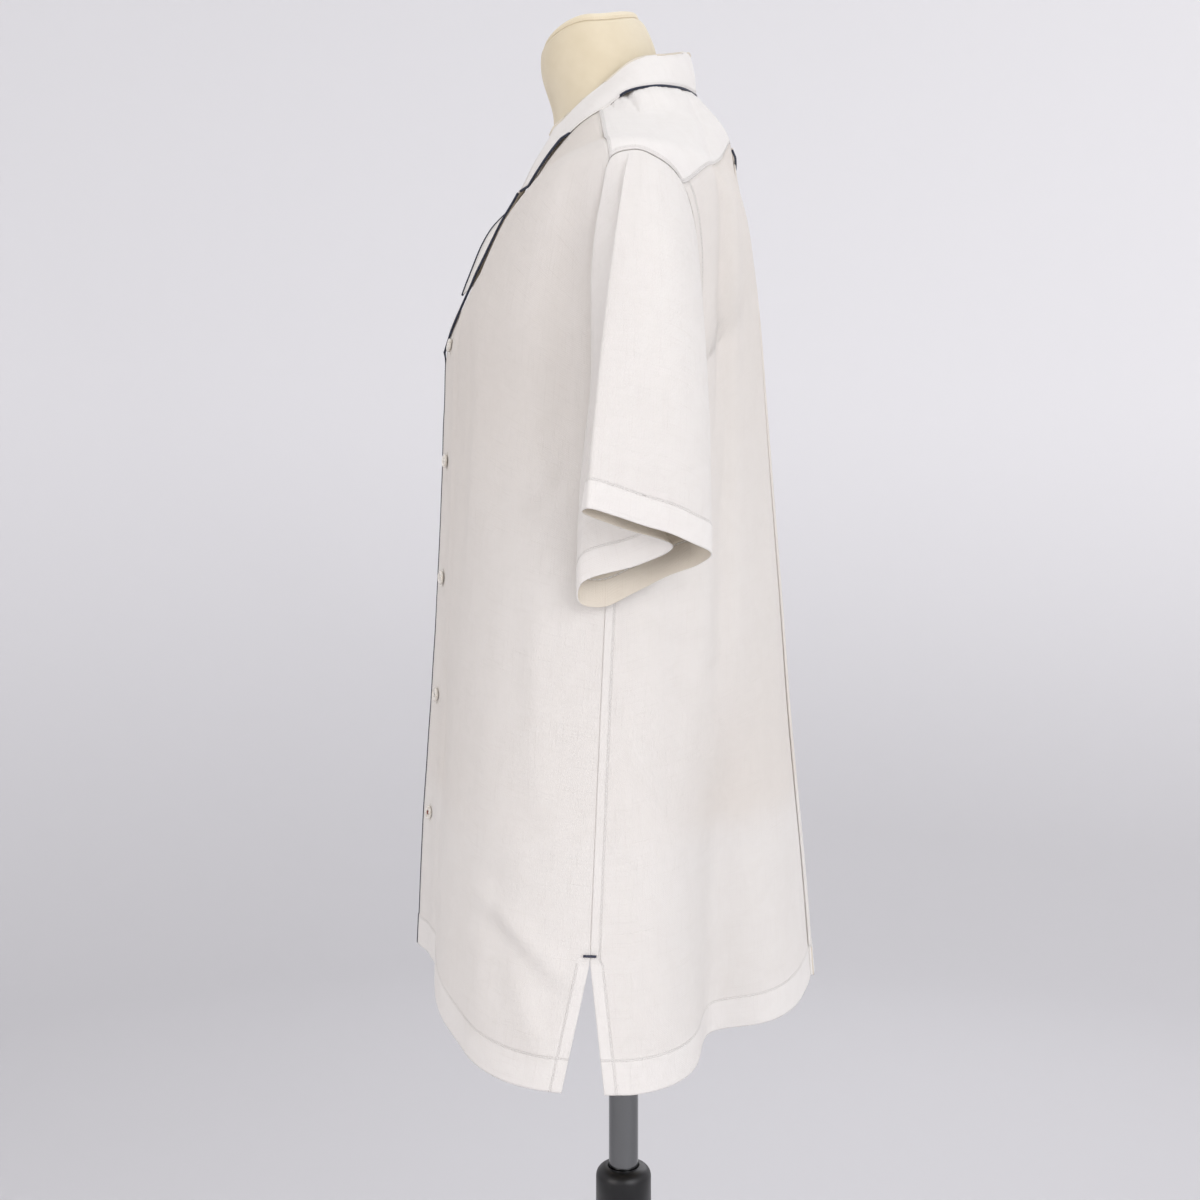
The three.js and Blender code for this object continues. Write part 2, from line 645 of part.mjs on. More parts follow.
function sleeveGrid(side) {
  const curves = ['middle', 'hem'].map((level) =>
    new THREE.CatmullRomCurve3(SLEEVE.map((row) => point(row[level])), true, 'centripetal'));
  const surface = (i, j) => {
    const w = i / SLEEVE_AROUND;
    const top = armholePoint(armholeRow(w), side);
    const [middle, hem] = curves.map((curve) => curve.getPoint(w));
    const v = j / SLEEVE_ROWS;
    const bend = middle.clone().multiplyScalar(2).addScaledVector(top, -0.5).addScaledVector(hem, -0.5);
    const p = top.multiplyScalar((1 - v) ** 2).addScaledVector(bend, 2 * v * (1 - v)).addScaledVector(hem, v * v);
    return side > 0 ? p : point([-p.x, p.y, p.z]);
  };
  const columns = (i) => (side > 0 ? (SLEEVE_AROUND - i) % SLEEVE_AROUND : i);
  return smoothNormals(SLEEVE_AROUND, SLEEVE_ROWS + 1, (i, j) => surface(columns(i), SLEEVE_ROWS - j), true);
}

// Piping: a cord beside the edge of a panel, in the middle of its wall.
function besideEdge(cell, neighbour, room = 0.7) {
  const away = cell.outer.clone().sub(neighbour.outer);
  away.addScaledVector(cell.normal, -away.dot(cell.normal)).normalize();
  const middle = cell.outer.clone().lerp(cell.inner, 0.5);
  return middle.addScaledVector(away, PIPING / 2 + room);
}

// A line of straight stretches whose corners are the points themselves.
class CornerLine extends THREE.Curve {
  constructor(points) {
    super();
    this.points = points;
  }

  getPoint(w) {
    const at = clamp(w) * (this.points.length - 1);
    const i = Math.min(Math.floor(at), this.points.length - 2);
    return this.points[i].clone().lerp(this.points[i + 1], at - i);
  }

  getPointAt(w) {
    return this.getPoint(w);
  }
}

function cord(points, sides, radius = PIPING / 2) {
  const curve = new CornerLine(points);
  const section = new THREE.Shape();
  for (let i = 0; i < sides; i += 1) {
    const turn = (2 * Math.PI * i) / sides;
    const [x, y] = [radius * Math.cos(turn), radius * Math.sin(turn)];
    if (i === 0) section.moveTo(x, y);
    else section.lineTo(x, y);
  }
  section.closePath();
  const steps = points.length - 1;
  return new THREE.ExtrudeGeometry(section, { steps, bevelEnabled: false, extrudePath: curve });
}

function frontPipingPoints(front, side) {
  const edge = side > 0 ? 0 : front[0].length - 1;
  return front
    .map((row) => besideEdge(row[edge], row[edge + side], 1))
    .filter((_, j) => frontVs[j] < BREAK);
}

function lapelPipingPoints(lapel, side) {
  const edge = side > 0 ? lapel[0].length - 1 : 0;
  return lapel.map((row) => besideEdge(row[edge], row[edge - side]));
}

function collarPipingPoints() {
  return collar[0].map((cell, i) => besideEdge(cell, collar[1][i]));
}

// Hanger loop: a cord that hangs in a shallow bow from the back yoke seam.
function hangerLoopPoints() {
  const t = YOKE_CENTRE - 0.006;
  return [-36, -28, -14, 0, 14, 28, 36].map((x) => {
    const droop = 13 * (1 - (x / 36) ** 2);
    const spot = body(t - droop / 900, ringAngleAtX(t, x, 'back'));
    const lift = 0.7 + 5.9 * ease((38 - Math.abs(x)) / 12);
    return spot.addScaledVector(outward(plainBody, t, Math.PI), lift);
  });
}

// Buttons: a turned disc with a dished face and four thread holes.
function buttonGeometry() {
  const { diameter, thickness, rim, dish, holeSpread, hole } = BUTTON;
  const radius = diameter / 2;
  const profile = [
    [0, 0], [radius - 0.4, 0], [radius, thickness / 2], [radius - 0.4, thickness], [radius - rim, thickness],
    [radius - rim - 0.7, thickness - dish], [0, thickness - dish],
  ].map(([r, h]) => new THREE.Vector2(r, h));
  const disc = new THREE.LatheGeometry(profile, 14).rotateX(Math.PI / 2);
  let solid = toSolid(disc);
  for (const [x, y] of [[1, 1], [1, -1], [-1, 1], [-1, -1]]) {
    const drill = new THREE.CylinderGeometry(hole / 2, hole / 2, 4 * thickness, 4).rotateX(Math.PI / 2);
    drill.translate(x * holeSpread, y * holeSpread, 0);
    solid = solid.subtract(toSolid(drill));
  }
  return fromSolid(solid);
}

// A button lies flat on the left front, just clear of the highest spot of cloth under its rim.
function buttonMesh(height, cloth, material) {
  const t = ringAtFrontHeight(height);
  const angle = ringAngleAtX(t, BUTTON_ACROSS, 'front');
  const normal = outward(body, t, angle);
  const start = body(t, angle).addScaledVector(normal, 30);
  const [hit] = new THREE.Raycaster(start, normal.clone().negate()).intersectObject(cloth);
  const facing = hit.face.normal.clone();
  const mesh = new THREE.Mesh(buttonGeometry(), material);
  mesh.quaternion.setFromUnitVectors(new THREE.Vector3(0, 0, 1), facing);
  const bumps = Array.from({ length: 12 }, (_, i) => {
    const rim = point([Math.cos(i * Math.PI / 6), Math.sin(i * Math.PI / 6), 0]);
    rim.multiplyScalar(BUTTON.diameter / 2).applyQuaternion(mesh.quaternion);
    const above = rim.add(hit.point).addScaledVector(facing, 10);
    const [spot] = new THREE.Raycaster(above, facing.clone().negate()).intersectObject(cloth);
    return 10 - spot.distance;
  });
  mesh.position.copy(hit.point).addScaledVector(facing, BUTTON.seat + Math.max(0, ...bumps));
  return mesh;
}

// Dress form: lower rings of its own, shoulders that follow the shirt from inside, then the neck.
const FORM_RINGS = named(
  ['zFront', 'zSide', 'zBack', 'half', 'front', 'back', 'middle'],
  [
    [BUST_BOTTOM, BUST_BOTTOM, BUST_BOTTOM, 146, 104, 102, 0],
    [950, 950, 950, 155, 111, 109, 0],
    [1010, 1010, 1010, 154, 110, 104, 0],
    [1080, 1080, 1080, 146, 104, 92, 0],
    [1150, 1150, 1150, 148, 106, 86, 0],
    [1220, 1225, 1220, 158, 112, 86, 0],
    [1290, 1305, 1290, 170, 116, 90, 0],
    [1340, 1370, 1350, 178, 108, 90, 0],
    [1372, 1415, 1385, 184, 94, 86, 0],
    [1390, 1438, 1405, 184, 86, 82, 0],
  ],
);
const FORM_SHOULDERS = [0.903, 0.92, 0.945, 0.968];
const NECK_RINGS = named(
  ['zFront', 'zSide', 'zBack', 'half', 'front', 'back', 'middle'],
  [
    [1462, 1499, 1508, 60, 54, 36, -8],
    [1492, 1516, 1524, 57, 59, 32, -14],
    [1515, 1530, 1538, 53, 60, 29, -16],
    [1545, 1556, 1564, 51, 69, 28, -20],
    [1563, 1575, 1587, 50, 70, 19, -24],
    [1568, 1580, 1593, 48.5, 67, 12, -26],
  ],
);
const FORM_AROUND = 28;
const FORM_GAP = 0.55; // cloth to form along the top of the shoulders

function formRing(row) {
  return Array.from({ length: FORM_AROUND }, (_, i) => {
    const angle = (2 * Math.PI * i) / FORM_AROUND;
    const [s, c] = [Math.sin(angle), Math.cos(angle)];
    const depth = c > 0 ? row.front + row.middle : row.back - row.middle;
    const z = mix(row.zSide, c > 0 ? row.zFront : row.zBack, c * c);
    return new THREE.Vector3(row.half * s, row.middle - depth * c, z);
  });
}

function shoulderRing(t) {
  return Array.from({ length: FORM_AROUND }, (_, i) => {
    const angle = (2 * Math.PI * i) / FORM_AROUND;
    const clear = FORM_GAP + WALL + 13 * Math.cos(angle) ** 2;
    return plainBody(t, angle).addScaledVector(outward(plainBody, t, angle), -clear);
  });
}

function bustGeometry() {
  const rings = [
    ...FORM_RINGS.map(formRing),
    ...FORM_SHOULDERS.map(shoulderRing),
    ...NECK_RINGS.map(formRing),
  ];
  const socket = new THREE.CylinderGeometry(POLE.radius + 0.5, POLE.radius + 0.5, 2 * POLE.socket, 32);
  socket.rotateX(Math.PI / 2).translate(0, 0, BUST_BOTTOM);
  return fromSolid(toSolid(ringSolid(rings)).subtract(toSolid(socket)));
}

// The cap closes the slanted top of the neck with a low dome.
function capGeometry() {
  const rim = formRing(NECK_RINGS[NECK_RINGS.length - 1]);
  const centre = rim.reduce((sum, p) => sum.add(p), new THREE.Vector3()).divideScalar(rim.length);
  const levels = named(['spread', 'rise'], [[1, 0.3], [1.01, 2], [0.97, 4.5], [0.87, 7.4], [0.62, 10], [0.3, 11.6]]);
  return ringSolid(levels.map(({ spread, rise }) =>
    rim.map((p) => {
      const q = centre.clone().lerp(p, spread);
      q.z += rise;
      return q;
    })));
}

function lathe(profile, segments = 28) {
  const points = profile.map(([r, z]) => new THREE.Vector2(r, z));
  return new THREE.LatheGeometry(points, segments).rotateX(Math.PI / 2);
}

function poleGeometry() {
  const top = BUST_BOTTOM + POLE.socket - 0.4;
  const { radius, bottom } = POLE;
  return lathe([[0, bottom], [radius - 1, bottom], [radius, bottom + 1], [radius, top], [0, top]]);
}

function clampGeometry() {
  const bore = POLE.radius + CLAMP.clearance;
  const { radius, top, height, shoulder, skirt } = CLAMP;
  const bottom = top - height;
  const corner = [0, 0.25, 0.5, 0.75, 1].map((w) => [
    radius - shoulder * (1 - Math.cos((w * Math.PI) / 2)),
    top - shoulder * (1 - Math.sin((w * Math.PI) / 2)),
  ]);
  const sleeveBore = TUBE.radius + 0.35;
  return lathe([
    [sleeveBore, bottom], [radius - 1.5, bottom], [radius, bottom + 1.5], ...corner, [bore, top],
    [bore, bottom + skirt], [sleeveBore, bottom + skirt], [sleeveBore, bottom],
  ]);
}

function tubeGeometry() {
  const top = CLAMP.top - CLAMP.height + CLAMP.skirt - 0.35;
  const bottom = BASE.crown + 0.3;
  const { radius, bore } = TUBE;
  return lathe([[bore, bottom], [radius, bottom], [radius, top], [bore, top], [bore, bottom]]);
}

function baseGeometry() {
  const { radius, rim, crown, hub } = BASE;
  return lathe([
    [0, 0], [radius - 2, 0], [radius, 2], [radius, rim - 2], [radius - 3, rim],
    [radius * 0.7, rim + 3], [radius * 0.4, rim + 6], [hub + 6, crown - 4], [hub, crown], [0, crown],
  ], 40);
}

// The scene graph
const group = new THREE.Group();
const finishes = {
  linen: { color: COLOURS.linen, roughness: 0.85, metalness: 0 },
  navy: { color: COLOURS.navy, roughness: 0.8, metalness: 0 },
  shell: { color: COLOURS.shell, roughness: 0.3, metalness: 0 },
  jersey: { color: COLOURS.jersey, roughness: 0.9, metalness: 0 },
  chrome: { color: COLOURS.chrome, roughness: 0.12, metalness: 1 },
  black: { color: COLOURS.black, roughness: 0.5, metalness: 0 },
};

function add(name, geometry, finish) {
  const mesh = new THREE.Mesh(geometry, new THREE.MeshStandardMaterial(finishes[finish]));
  mesh.name = name;
  group.add(mesh);
}

const clothPanels = {
  left_front: leftFront, right_front: rightFront, back, yoke, collar,
  left_lapel: leftLapel, right_lapel: rightLapel,
};
for (const [name, grid] of Object.entries(clothPanels)) add(name, wallGeometry(grid), 'linen');
add('left_sleeve', wallGeometry(sleeveGrid(1), true), 'linen');
add('right_sleeve', wallGeometry(sleeveGrid(-1), true), 'linen');

// The left cord crosses in front of the cloth's corner where the lapel turns out.
const leftPiping = frontPipingPoints(leftFront, 1);
const turnedPiping = lapelPipingPoints(leftLapel, 1);
const crossing = leftPiping[leftPiping.length - 1].clone().lerp(turnedPiping[0], 0.45);
leftPiping.push(crossing.add(point([-0.5, -3, 0])), ...turnedPiping);
add('collar_piping', cord(collarPipingPoints(), 6), 'navy');
add('left_front_piping', cord(leftPiping, 6), 'navy');
add('right_front_piping', cord(frontPipingPoints(rightFront, -1), 6), 'navy');
add('right_lapel_piping', cord(lapelPipingPoints(rightLapel, -1), 6), 'navy');
add('hanger_loop', cord(hangerLoopPoints(), 6, 0.9), 'navy');

BUTTON_HEIGHTS.forEach((height, i) => {
  const cloth = group.getObjectByName('left_front');
  const button = buttonMesh(height, cloth, new THREE.MeshStandardMaterial(finishes.shell));
  button.name = `button_${i + 1}`;
  group.add(button);
});

add('bust', bustGeometry(), 'jersey');
add('neck_cap', capGeometry(), 'jersey');
add('pole', poleGeometry(), 'chrome');
add('clamp_collar', clampGeometry(), 'black');
add('stand_tube', tubeGeometry(), 'black');
add('base', baseGeometry(), 'black');

export default group;
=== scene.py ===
# A camp-collar shirt of white linen with navy piping, worn by a limbless dress form on a stand.
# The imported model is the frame. Finer sheets on the same surfaces stand for its cloth here. Their
# tables are those of the part, in millimetres, and Blender's own lengths are metres.
# +Z is up, the wearer faces -Y and the wearer's left is +X.
import math

import bmesh
import bpy
import numpy as np
from mathutils import Matrix, Vector, noise


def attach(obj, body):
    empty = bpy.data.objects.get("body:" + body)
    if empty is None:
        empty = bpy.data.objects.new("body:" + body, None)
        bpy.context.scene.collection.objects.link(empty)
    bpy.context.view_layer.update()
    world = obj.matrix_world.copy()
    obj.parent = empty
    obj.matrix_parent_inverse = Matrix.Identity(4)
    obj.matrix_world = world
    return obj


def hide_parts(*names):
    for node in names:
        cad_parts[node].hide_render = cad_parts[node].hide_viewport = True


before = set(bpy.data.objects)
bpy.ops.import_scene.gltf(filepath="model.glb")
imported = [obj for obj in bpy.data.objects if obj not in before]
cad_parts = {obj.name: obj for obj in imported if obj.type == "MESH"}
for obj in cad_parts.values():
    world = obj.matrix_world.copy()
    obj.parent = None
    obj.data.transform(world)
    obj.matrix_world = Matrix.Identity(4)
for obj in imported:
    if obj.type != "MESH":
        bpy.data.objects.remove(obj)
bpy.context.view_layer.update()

MM = 0.001
WALL = 1.0  # cloth as thick as it looks at its edges
LAP_LIFT = 3.3
EDGE_CURL = 4
LAP_HALF = 16
PIPING = 2.1
PLEAT_REACH = 33
BUTTON_HEIGHTS = (1318, 1220, 1121, 1022, 922)
BUTTON_ACROSS = 2
BUST_BOTTOM = 935

# Tables shared with the part


def table(columns, rows):
    return {name: np.array([row[i] for row in rows], float) for i, name in enumerate(columns)}


BODY = table(
    ("t", "z_front", "z_side", "z_back", "half", "front", "back", "front_power", "back_power", "keel",
     "rise"),
    [
        (0, 806, 773, 790, 237, 155, 158, 0.76, 1.3, 14, 4),
        (0.13, 884, 868, 876, 234, 153, 151, 0.78, 1.26, 13, 4),
        (0.3, 1000, 995, 1000, 228, 147, 139, 0.84, 1.18, 12, 2),
        (0.45, 1102, 1100, 1102, 222, 143, 131, 0.9, 1.1, 10, 2),
        (0.58, 1200, 1190, 1200, 218, 140, 123, 0.96, 1.04, 9, 2),
        (0.66, 1262, 1248, 1264, 217, 139, 118, 1, 1, 8, 2),
        (0.75, 1330, 1336, 1340, 230, 136, 112, 1, 1, 5, 2),
        (0.84, 1390, 1430, 1405, 240, 109, 104, 1, 1, 0, 2),
        (0.9, 1425, 1455, 1452, 184, 87, 94, 1, 1, 0, 2),
        (0.95, 1450, 1481, 1496, 126, 76, 85, 1, 1, 0, 2),
        (1, 1462, 1512, 1541, 65, 71, 46, 1, 1, 0, 2),
    ],
)
KEEL_X, KEEL_WIDTH = -18, 32

# Largest folds: valleys at an angle from the centre front, with their depth low down and high up.
FOLDS = (
    (129, -5, 12, 66, 0, -0.2, 0.5),
    (-126, 6, 14, 46, 0, -0.2, 0.55),
    (67, 5, 7, 4, 8, 0.56, 0.9),
    (-64, -4, 8, 3, 9, 0.5, 0.9),
    (38, 6, 9, 6, 0, -0.3, 0.42),
    (-33, -8, 10, 8, 0, -0.3, 0.5),
    (121, 17, 4.5, 7, 9, 0.28, 1.12),
    (-121, -15, 5, 5, 8, 0.3, 1.12),
)

ARMHOLE = table(
    ("t", "ring", "angle"),
    [
        (0, 0.66, 86), (1, 0.685, 84.5), (2, 0.72, 84), (3, 0.77, 83.5), (4, 0.81, 83), (5, 0.833, 83),
        (6, 0.84, 90), (7, 0.838, 98), (8, 0.82, 111), (9, 0.77, 117), (10, 0.71, 114),
        (11, 0.675, 103), (12, 0.66, 86),
    ],
)
FRONT_CORNER = 5
YOKE_CORNER = 8
ARMHOLE_ROWS = 12
YOKE_CENTRE = 0.934
NECK_SEAM = math.radians(72)
VENT_TOP = 0.125
UNDERARM = 0.66
FOLD_TOP_X = 37
SIDE_SHARE = 0.76
BACK_SHARE = 0.83
NECK_SHARE = 0.22
BACK_COLUMNS = 15
NO_ROW = 99.0  # a distance from a row of stitches that isn't there

PLEAT = table(
    ("across", "shut", "open"),
    [
        (0, 2.3, 3.4), (17.5, 2.2, 3), (19.6, 1.9, 2.3), (20.4, 1.1, 1.25), (19.6, 0.35, 0.35),
        (17.5, 0.12, 0.12), (7, 0.1, 0.1), (4.2, 0.08, 0.08), (4.2, 0.04, 0.04), (7, 0, 0),
        (PLEAT_REACH, 0, 0),
    ],
)

COLLAR = table(
    ("t", "seam_angle", "fold_x", "fold_y", "fold_z", "edge_x", "edge_y", "edge_z"),
    [
        (0, 38, 42, -60, 1487, 68, -84, 1437),
        (1, 43, 47, -56, 1493, 87, -63, 1447),
        (2, 50, 53, -47, 1500, 84, -45, 1472),
        (3, 62, 60, -33, 1512, 88, -22, 1494),
        (4, 76, 63, -16, 1525, 90, -2, 1510),
        (5, 95, 62, 8, 1544, 86, 22, 1517),
        (6, 122, 52, 34, 1551, 66, 44, 1521),
        (7, 150, 30, 50, 1559, 37, 57, 1524),
        (8, 180, 0, 55, 1565, 0, 62, 1529),
    ],
)

LAPELS = {"left": (1, 0.1, 5, 2.5, 1.2), "right": (-1, 0.37, 24, 1, 2.5)}
NOTCH_X, NOTCH_T = 64, 0.906

SLEEVE = [
    (6.7, (284, 14, 1303), (294, 9, 1170)),
    (6.4, (283, -2, 1306), (299, -12, 1177)),
    (6.05, (278, -15, 1306), (301, -27, 1181)),
    (5.7, (271, -17, 1303), (295, -32, 1179)),
    (5.2, (262, -19, 1296), (286, -8, 1169)),
    (4.5, (250, -22, 1284), (265, 29, 1155)),
    (3.6, (239, -25, 1266), (253, 8, 1143)),
    (2.7, (231, -29, 1243), (240, -33, 1129)),
    (1.6, (226, -31, 1216), (232, -34, 1115)),
    (0.7, (224, -18, 1194), (230, -18, 1112)),
    (0, (224, 4, 1188), (230, 4, 1122)),
    (-0.9, (227, 26, 1200), (238, 27, 1134)),
    (-1.8, (236, 45, 1226), (254, 48, 1143)),
    (-2.8, (254, 54, 1262), (270, 55, 1151)),
    (-3.8, (272, 45, 1288), (282, 42, 1158)),
    (-4.6, (281, 31, 1298), (289, 26, 1165)),
]

FORM_COLUMNS = ("z_front", "z_side", "z_back", "half", "front", "back", "middle")
FORM_RINGS = [
    (BUST_BOTTOM, BUST_BOTTOM, BUST_BOTTOM, 146, 104, 102, 0),
    (950, 950, 950, 155, 111, 109, 0),
    (1010, 1010, 1010, 154, 110, 104, 0),
    (1080, 1080, 1080, 146, 104, 92, 0),
    (1150, 1150, 1150, 148, 106, 86, 0),
    (1220, 1225, 1220, 158, 112, 86, 0),
    (1290, 1305, 1290, 170, 116, 90, 0),
    (1340, 1370, 1350, 178, 108, 90, 0),
    (1372, 1415, 1385, 184, 94, 86, 0),
    (1390, 1438, 1405, 184, 86, 82, 0),
]
FORM_SHOULDERS = (0.903, 0.92, 0.945, 0.968)
NECK_RINGS = [
    (1462, 1499, 1508, 60, 54, 36, -8),
    (1492, 1516, 1524, 57, 59, 32, -14),
    (1515, 1530, 1538, 53, 60, 29, -16),
    (1545, 1556, 1564, 51, 69, 28, -20),
    (1563, 1575, 1587, 50, 70, 19, -24),
    (1568, 1580, 1593, 48.5, 67, 12, -26),
]

# Reading the tables


def mix(a, b, w):
    return a + (b - a) * w


def clamp(w):
    return np.clip(w, 0.0, 1.0)


def ease(w):
    w = clamp(w)
    return w * w * (3 - 2 * w)


def unit(v):
    return v / np.maximum(np.linalg.norm(v, axis=-1, keepdims=True), 1e-9)


def read(rows, column, t):
    """The table's column as a smooth curve over its t."""
    t = np.asarray(t, float)
    at, value = rows["t"], rows[column]
    last = len(at) - 1
    low, high = np.maximum(np.arange(last + 1) - 1, 0), np.minimum(np.arange(last + 1) + 1, last)
    slope = (value[high] - value[low]) / (at[high] - at[low])
    i = np.clip(np.searchsorted(at, t, side="left") - 1, 0, last - 1)
    step = at[i + 1] - at[i]
    w = clamp((t - at[i]) / step)
    arrive = w * w * (3 - 2 * w)
    leaving = w * (1 - w) ** 2 * step * slope[i]
    arriving = w * w * (w - 1) * step * slope[i + 1]
    return mix(value[i], value[i + 1], arrive) + leaving + arriving


def plain_body(t, angle):
    s, c = np.sin(angle), np.cos(angle)
    front = c > 0
    power = np.where(front, read(BODY, "front_power", t), read(BODY, "back_power", t))
    depth = np.where(front, read(BODY, "front", t), read(BODY, "back", t))
    height = np.where(front, read(BODY, "z_front", t), read(BODY, "z_back", t))
    x = read(BODY, "half", t) * np.sign(s) * np.abs(s) ** power
    y = -np.sign(c) * depth * np.abs(c) ** power
    share = np.where(front, np.abs(c) ** read(BODY, "rise", t), c * c)
    z = mix(read(BODY, "z_side", t), height, share)
    return np.stack(np.broadcast_arrays(x, y, z), -1)


def fold_depth(t, angle):
    depth = 0.0
    degrees = np.degrees(angle)
    for middle, drift, width, low, high, start, end in FOLDS:
        along = (t - start) / (end - start)
        fade = ease(along * 5) * ease((1 - along) * 2.2)
        away = (degrees - middle - drift * along) / width
        depth = depth + mix(low, high, clamp(along)) * fade * np.exp(-away * away)
    return depth


def body(t, angle):
    """The shirt's body at the ring t, an angle from the centre front, with its folds and its ridge."""
    t, angle = np.broadcast_arrays(np.asarray(t, float), np.asarray(angle, float))
    p = plain_body(t, angle)
    wrapped = np.where(angle > math.pi, angle - 2 * math.pi, angle)
    radius = np.hypot(p[..., 0], p[..., 1])
    p[..., :2] *= (1 - fold_depth(t, wrapped) / radius)[..., None]
    ridge = read(BODY, "keel", t) * np.exp(-(((p[..., 0] - KEEL_X) / KEEL_WIDTH) ** 2))
    p[..., 1] -= np.where(np.cos(angle) > 0, ridge, 0)
    return p


def outward(surface, t, angle):
    across = surface(t, angle + 0.004) - surface(t, angle - 0.004)
    up = surface(np.minimum(t + 0.002, 1), angle) - surface(np.maximum(t - 0.002, 0), angle)
    return unit(np.cross(across, up))


def angle_at_x(t, x, face):
    power = read(BODY, face + "_power", t)
    s = np.sign(x) * clamp(np.abs(x) / read(BODY, "half", t)) ** (1 / power)
    return np.arcsin(s) if face == "front" else math.pi - np.arcsin(s)


def angle_at_y(t, y):
    front = y < 0
    power = np.where(front, read(BODY, "front_power", t), read(BODY, "back_power", t))
    depth = np.where(front, read(BODY, "front", t), read(BODY, "back", t))
    c = clamp(np.abs(y) / depth) ** (1 / power)
    return np.where(front, np.arccos(c), math.pi - np.arccos(c))


def ring_at_front_height(z):
    heights = np.linspace(0, 1, 4001)
    return float(np.interp(z, read(BODY, "z_front", heights), heights))


BREAK = ring_at_front_height(1312)


def armhole_at(row):
    return read(ARMHOLE, "ring", row), np.radians(read(ARMHOLE, "angle", row))


def side_edge(t, flap_y):
    seam = mix(-27, -10, clamp((t - VENT_TOP) / (UNDERARM - VENT_TOP)))
    return angle_at_y(t, mix(seam, flap_y, clamp((VENT_TOP - t) / VENT_TOP)))


def lap_lift(side, x):
    return LAP_LIFT * ease((44 - x) / 24) + EDGE_CURL * clamp((12 - x) / 28) ** 2 if side > 0 else 0 * x


def normals_of(points, closed=False):
    """Unit normals of a grid of points; columns run across and rows run up."""
    if closed:
        across = np.roll(points, -1, 1) - np.roll(points, 1, 1)
    else:
        across = np.gradient(points, axis=1)
    return unit(np.cross(across, np.gradient(points, axis=0)))


def run_lengths(points, axis):
    steps = np.linalg.norm(np.diff(points, axis=axis), axis=-1)
    start = np.zeros_like(np.take(steps, [0], axis=axis))
    return np.concatenate([start, np.cumsum(steps, axis=axis)], axis=axis)


# Creases pressed and hung into linen

# Each crease: the face that it is seen on, how high (+) or deep (-), how wide, and where it runs:
# y and z on the left and right side, x and z on the front and back.
CREASES = (
    ("left", 3.4, 9, ((-112, 903), (-93, 891), (-75, 876), (-58, 858), (-40, 846))),
    ("left", -2.6, 8, ((-108, 888), (-86, 874), (-66, 858), (-50, 842))),
    ("left", 2.2, 9, ((-80, 846), (-70, 820), (-58, 790))),
    ("left", -1.8, 10, ((-98, 930), (-96, 880), (-92, 820))),
    ("left", 2.0, 7, ((-2, 1030), (10, 1000), (25, 975))),
    ("left", -1.6, 7, ((8, 1034), (20, 1004), (34, 984))),
    ("left", 1.8, 9, ((52, 1160), (58, 1080), (62, 1000), (60, 930))),
    ("left", -1.8, 11, ((30, 1180), (36, 1080), (34, 980))),
    ("left", 1.6, 9, ((-60, 1150), (-66, 1060), (-64, 960))),
    ("left", 1.4, 7, ((-40, 1240), (-62, 1200), (-90, 1176))),
    ("left", -1.4, 7, ((-36, 1222), (-60, 1184), (-84, 1164))),
    ("left", 1.5, 8, ((12, 1236), (34, 1205), (60, 1185))),
    ("left", 1.6, 9, ((-112, 1320), (-118, 1240), (-120, 1150))),
    ("right", 2.6, 9, ((-105, 915), (-84, 890), (-62, 862), (-38, 838))),
    ("right", -2.2, 9, ((-98, 895), (-76, 868), (-56, 846))),
    ("right", 1.8, 10, ((-70, 1160), (-74, 1060), (-70, 950))),
    ("right", 1.8, 9, ((40, 1190), (48, 1090), (46, 960))),
    ("right", -1.6, 9, ((18, 1200), (24, 1100), (22, 1000))),
    ("right", 1.5, 8, ((-40, 1236), (-64, 1196), (-92, 1178))),
    ("front", 1.9, 13, ((70, 1340), (62, 1240), (66, 1120), (58, 1010))),
    ("front", -1.5, 12, ((112, 1330), (104, 1220), (100, 1100))),
    ("front", 1.7, 12, ((-74, 1330), (-62, 1230), (-58, 1120), (-66, 1000))),
    ("front", -1.5, 12, ((-110, 1320), (-104, 1210), (-108, 1080))),
    ("front", 1.8, 10, ((120, 900), (84, 872), (46, 852))),
    ("front", 1.7, 10, ((-124, 910), (-88, 880), (-52, 850))),
    ("back", -2.2, 7, ((170, 1440), (169, 1390), (169, 1330), (174, 1260), (181, 1200))),
    ("back", 2.4, 8, ((157, 1440), (156, 1390), (156, 1330), (161, 1260), (168, 1200))),
    ("back", 1.8, 12, ((90, 1340), (84, 1220), (92, 1080), (88, 960))),
    ("back", -1.8, 13, ((60, 1320), (58, 1200), (52, 1060))),
    ("back", 1.8, 12, ((-90, 1340), (-82, 1230), (-90, 1100), (-84, 960))),
    ("back", -1.6, 13, ((-58, 1330), (-54, 1190), (-60, 1040))),
)


def crease_lift(points):
    x, y, z = points[..., 0], points[..., 1], points[..., 2]
    lift = np.zeros_like(x)
    for face, height, width, line in CREASES:
        if face in ("left", "right"):
            across, shown = y, clamp((x if face == "left" else -x) / 60 - 0.6)
        else:
            across, shown = x, clamp((-y if face == "front" else y) / 40 - 0.5)
        nearest = np.full_like(x, 1e9)
        place = np.zeros_like(x)
        for k, ((a0, z0), (a1, z1)) in enumerate(zip(line, line[1:])):
            da, dz = a1 - a0, z1 - z0
            w = clamp(((across - a0) * da + (z - z0) * dz) / (da * da + dz * dz))
            gap = np.hypot(across - a0 - w * da, z - z0 - w * dz)
            place = np.where(gap < nearest, (k + w) / (len(line) - 1), place)
            nearest = np.minimum(gap, nearest)
        fade = np.sin(math.pi * clamp(place * 0.92 + 0.04)) ** 0.7
        lift += height * shown * fade * np.exp(-((nearest / width) ** 2))
    return lift


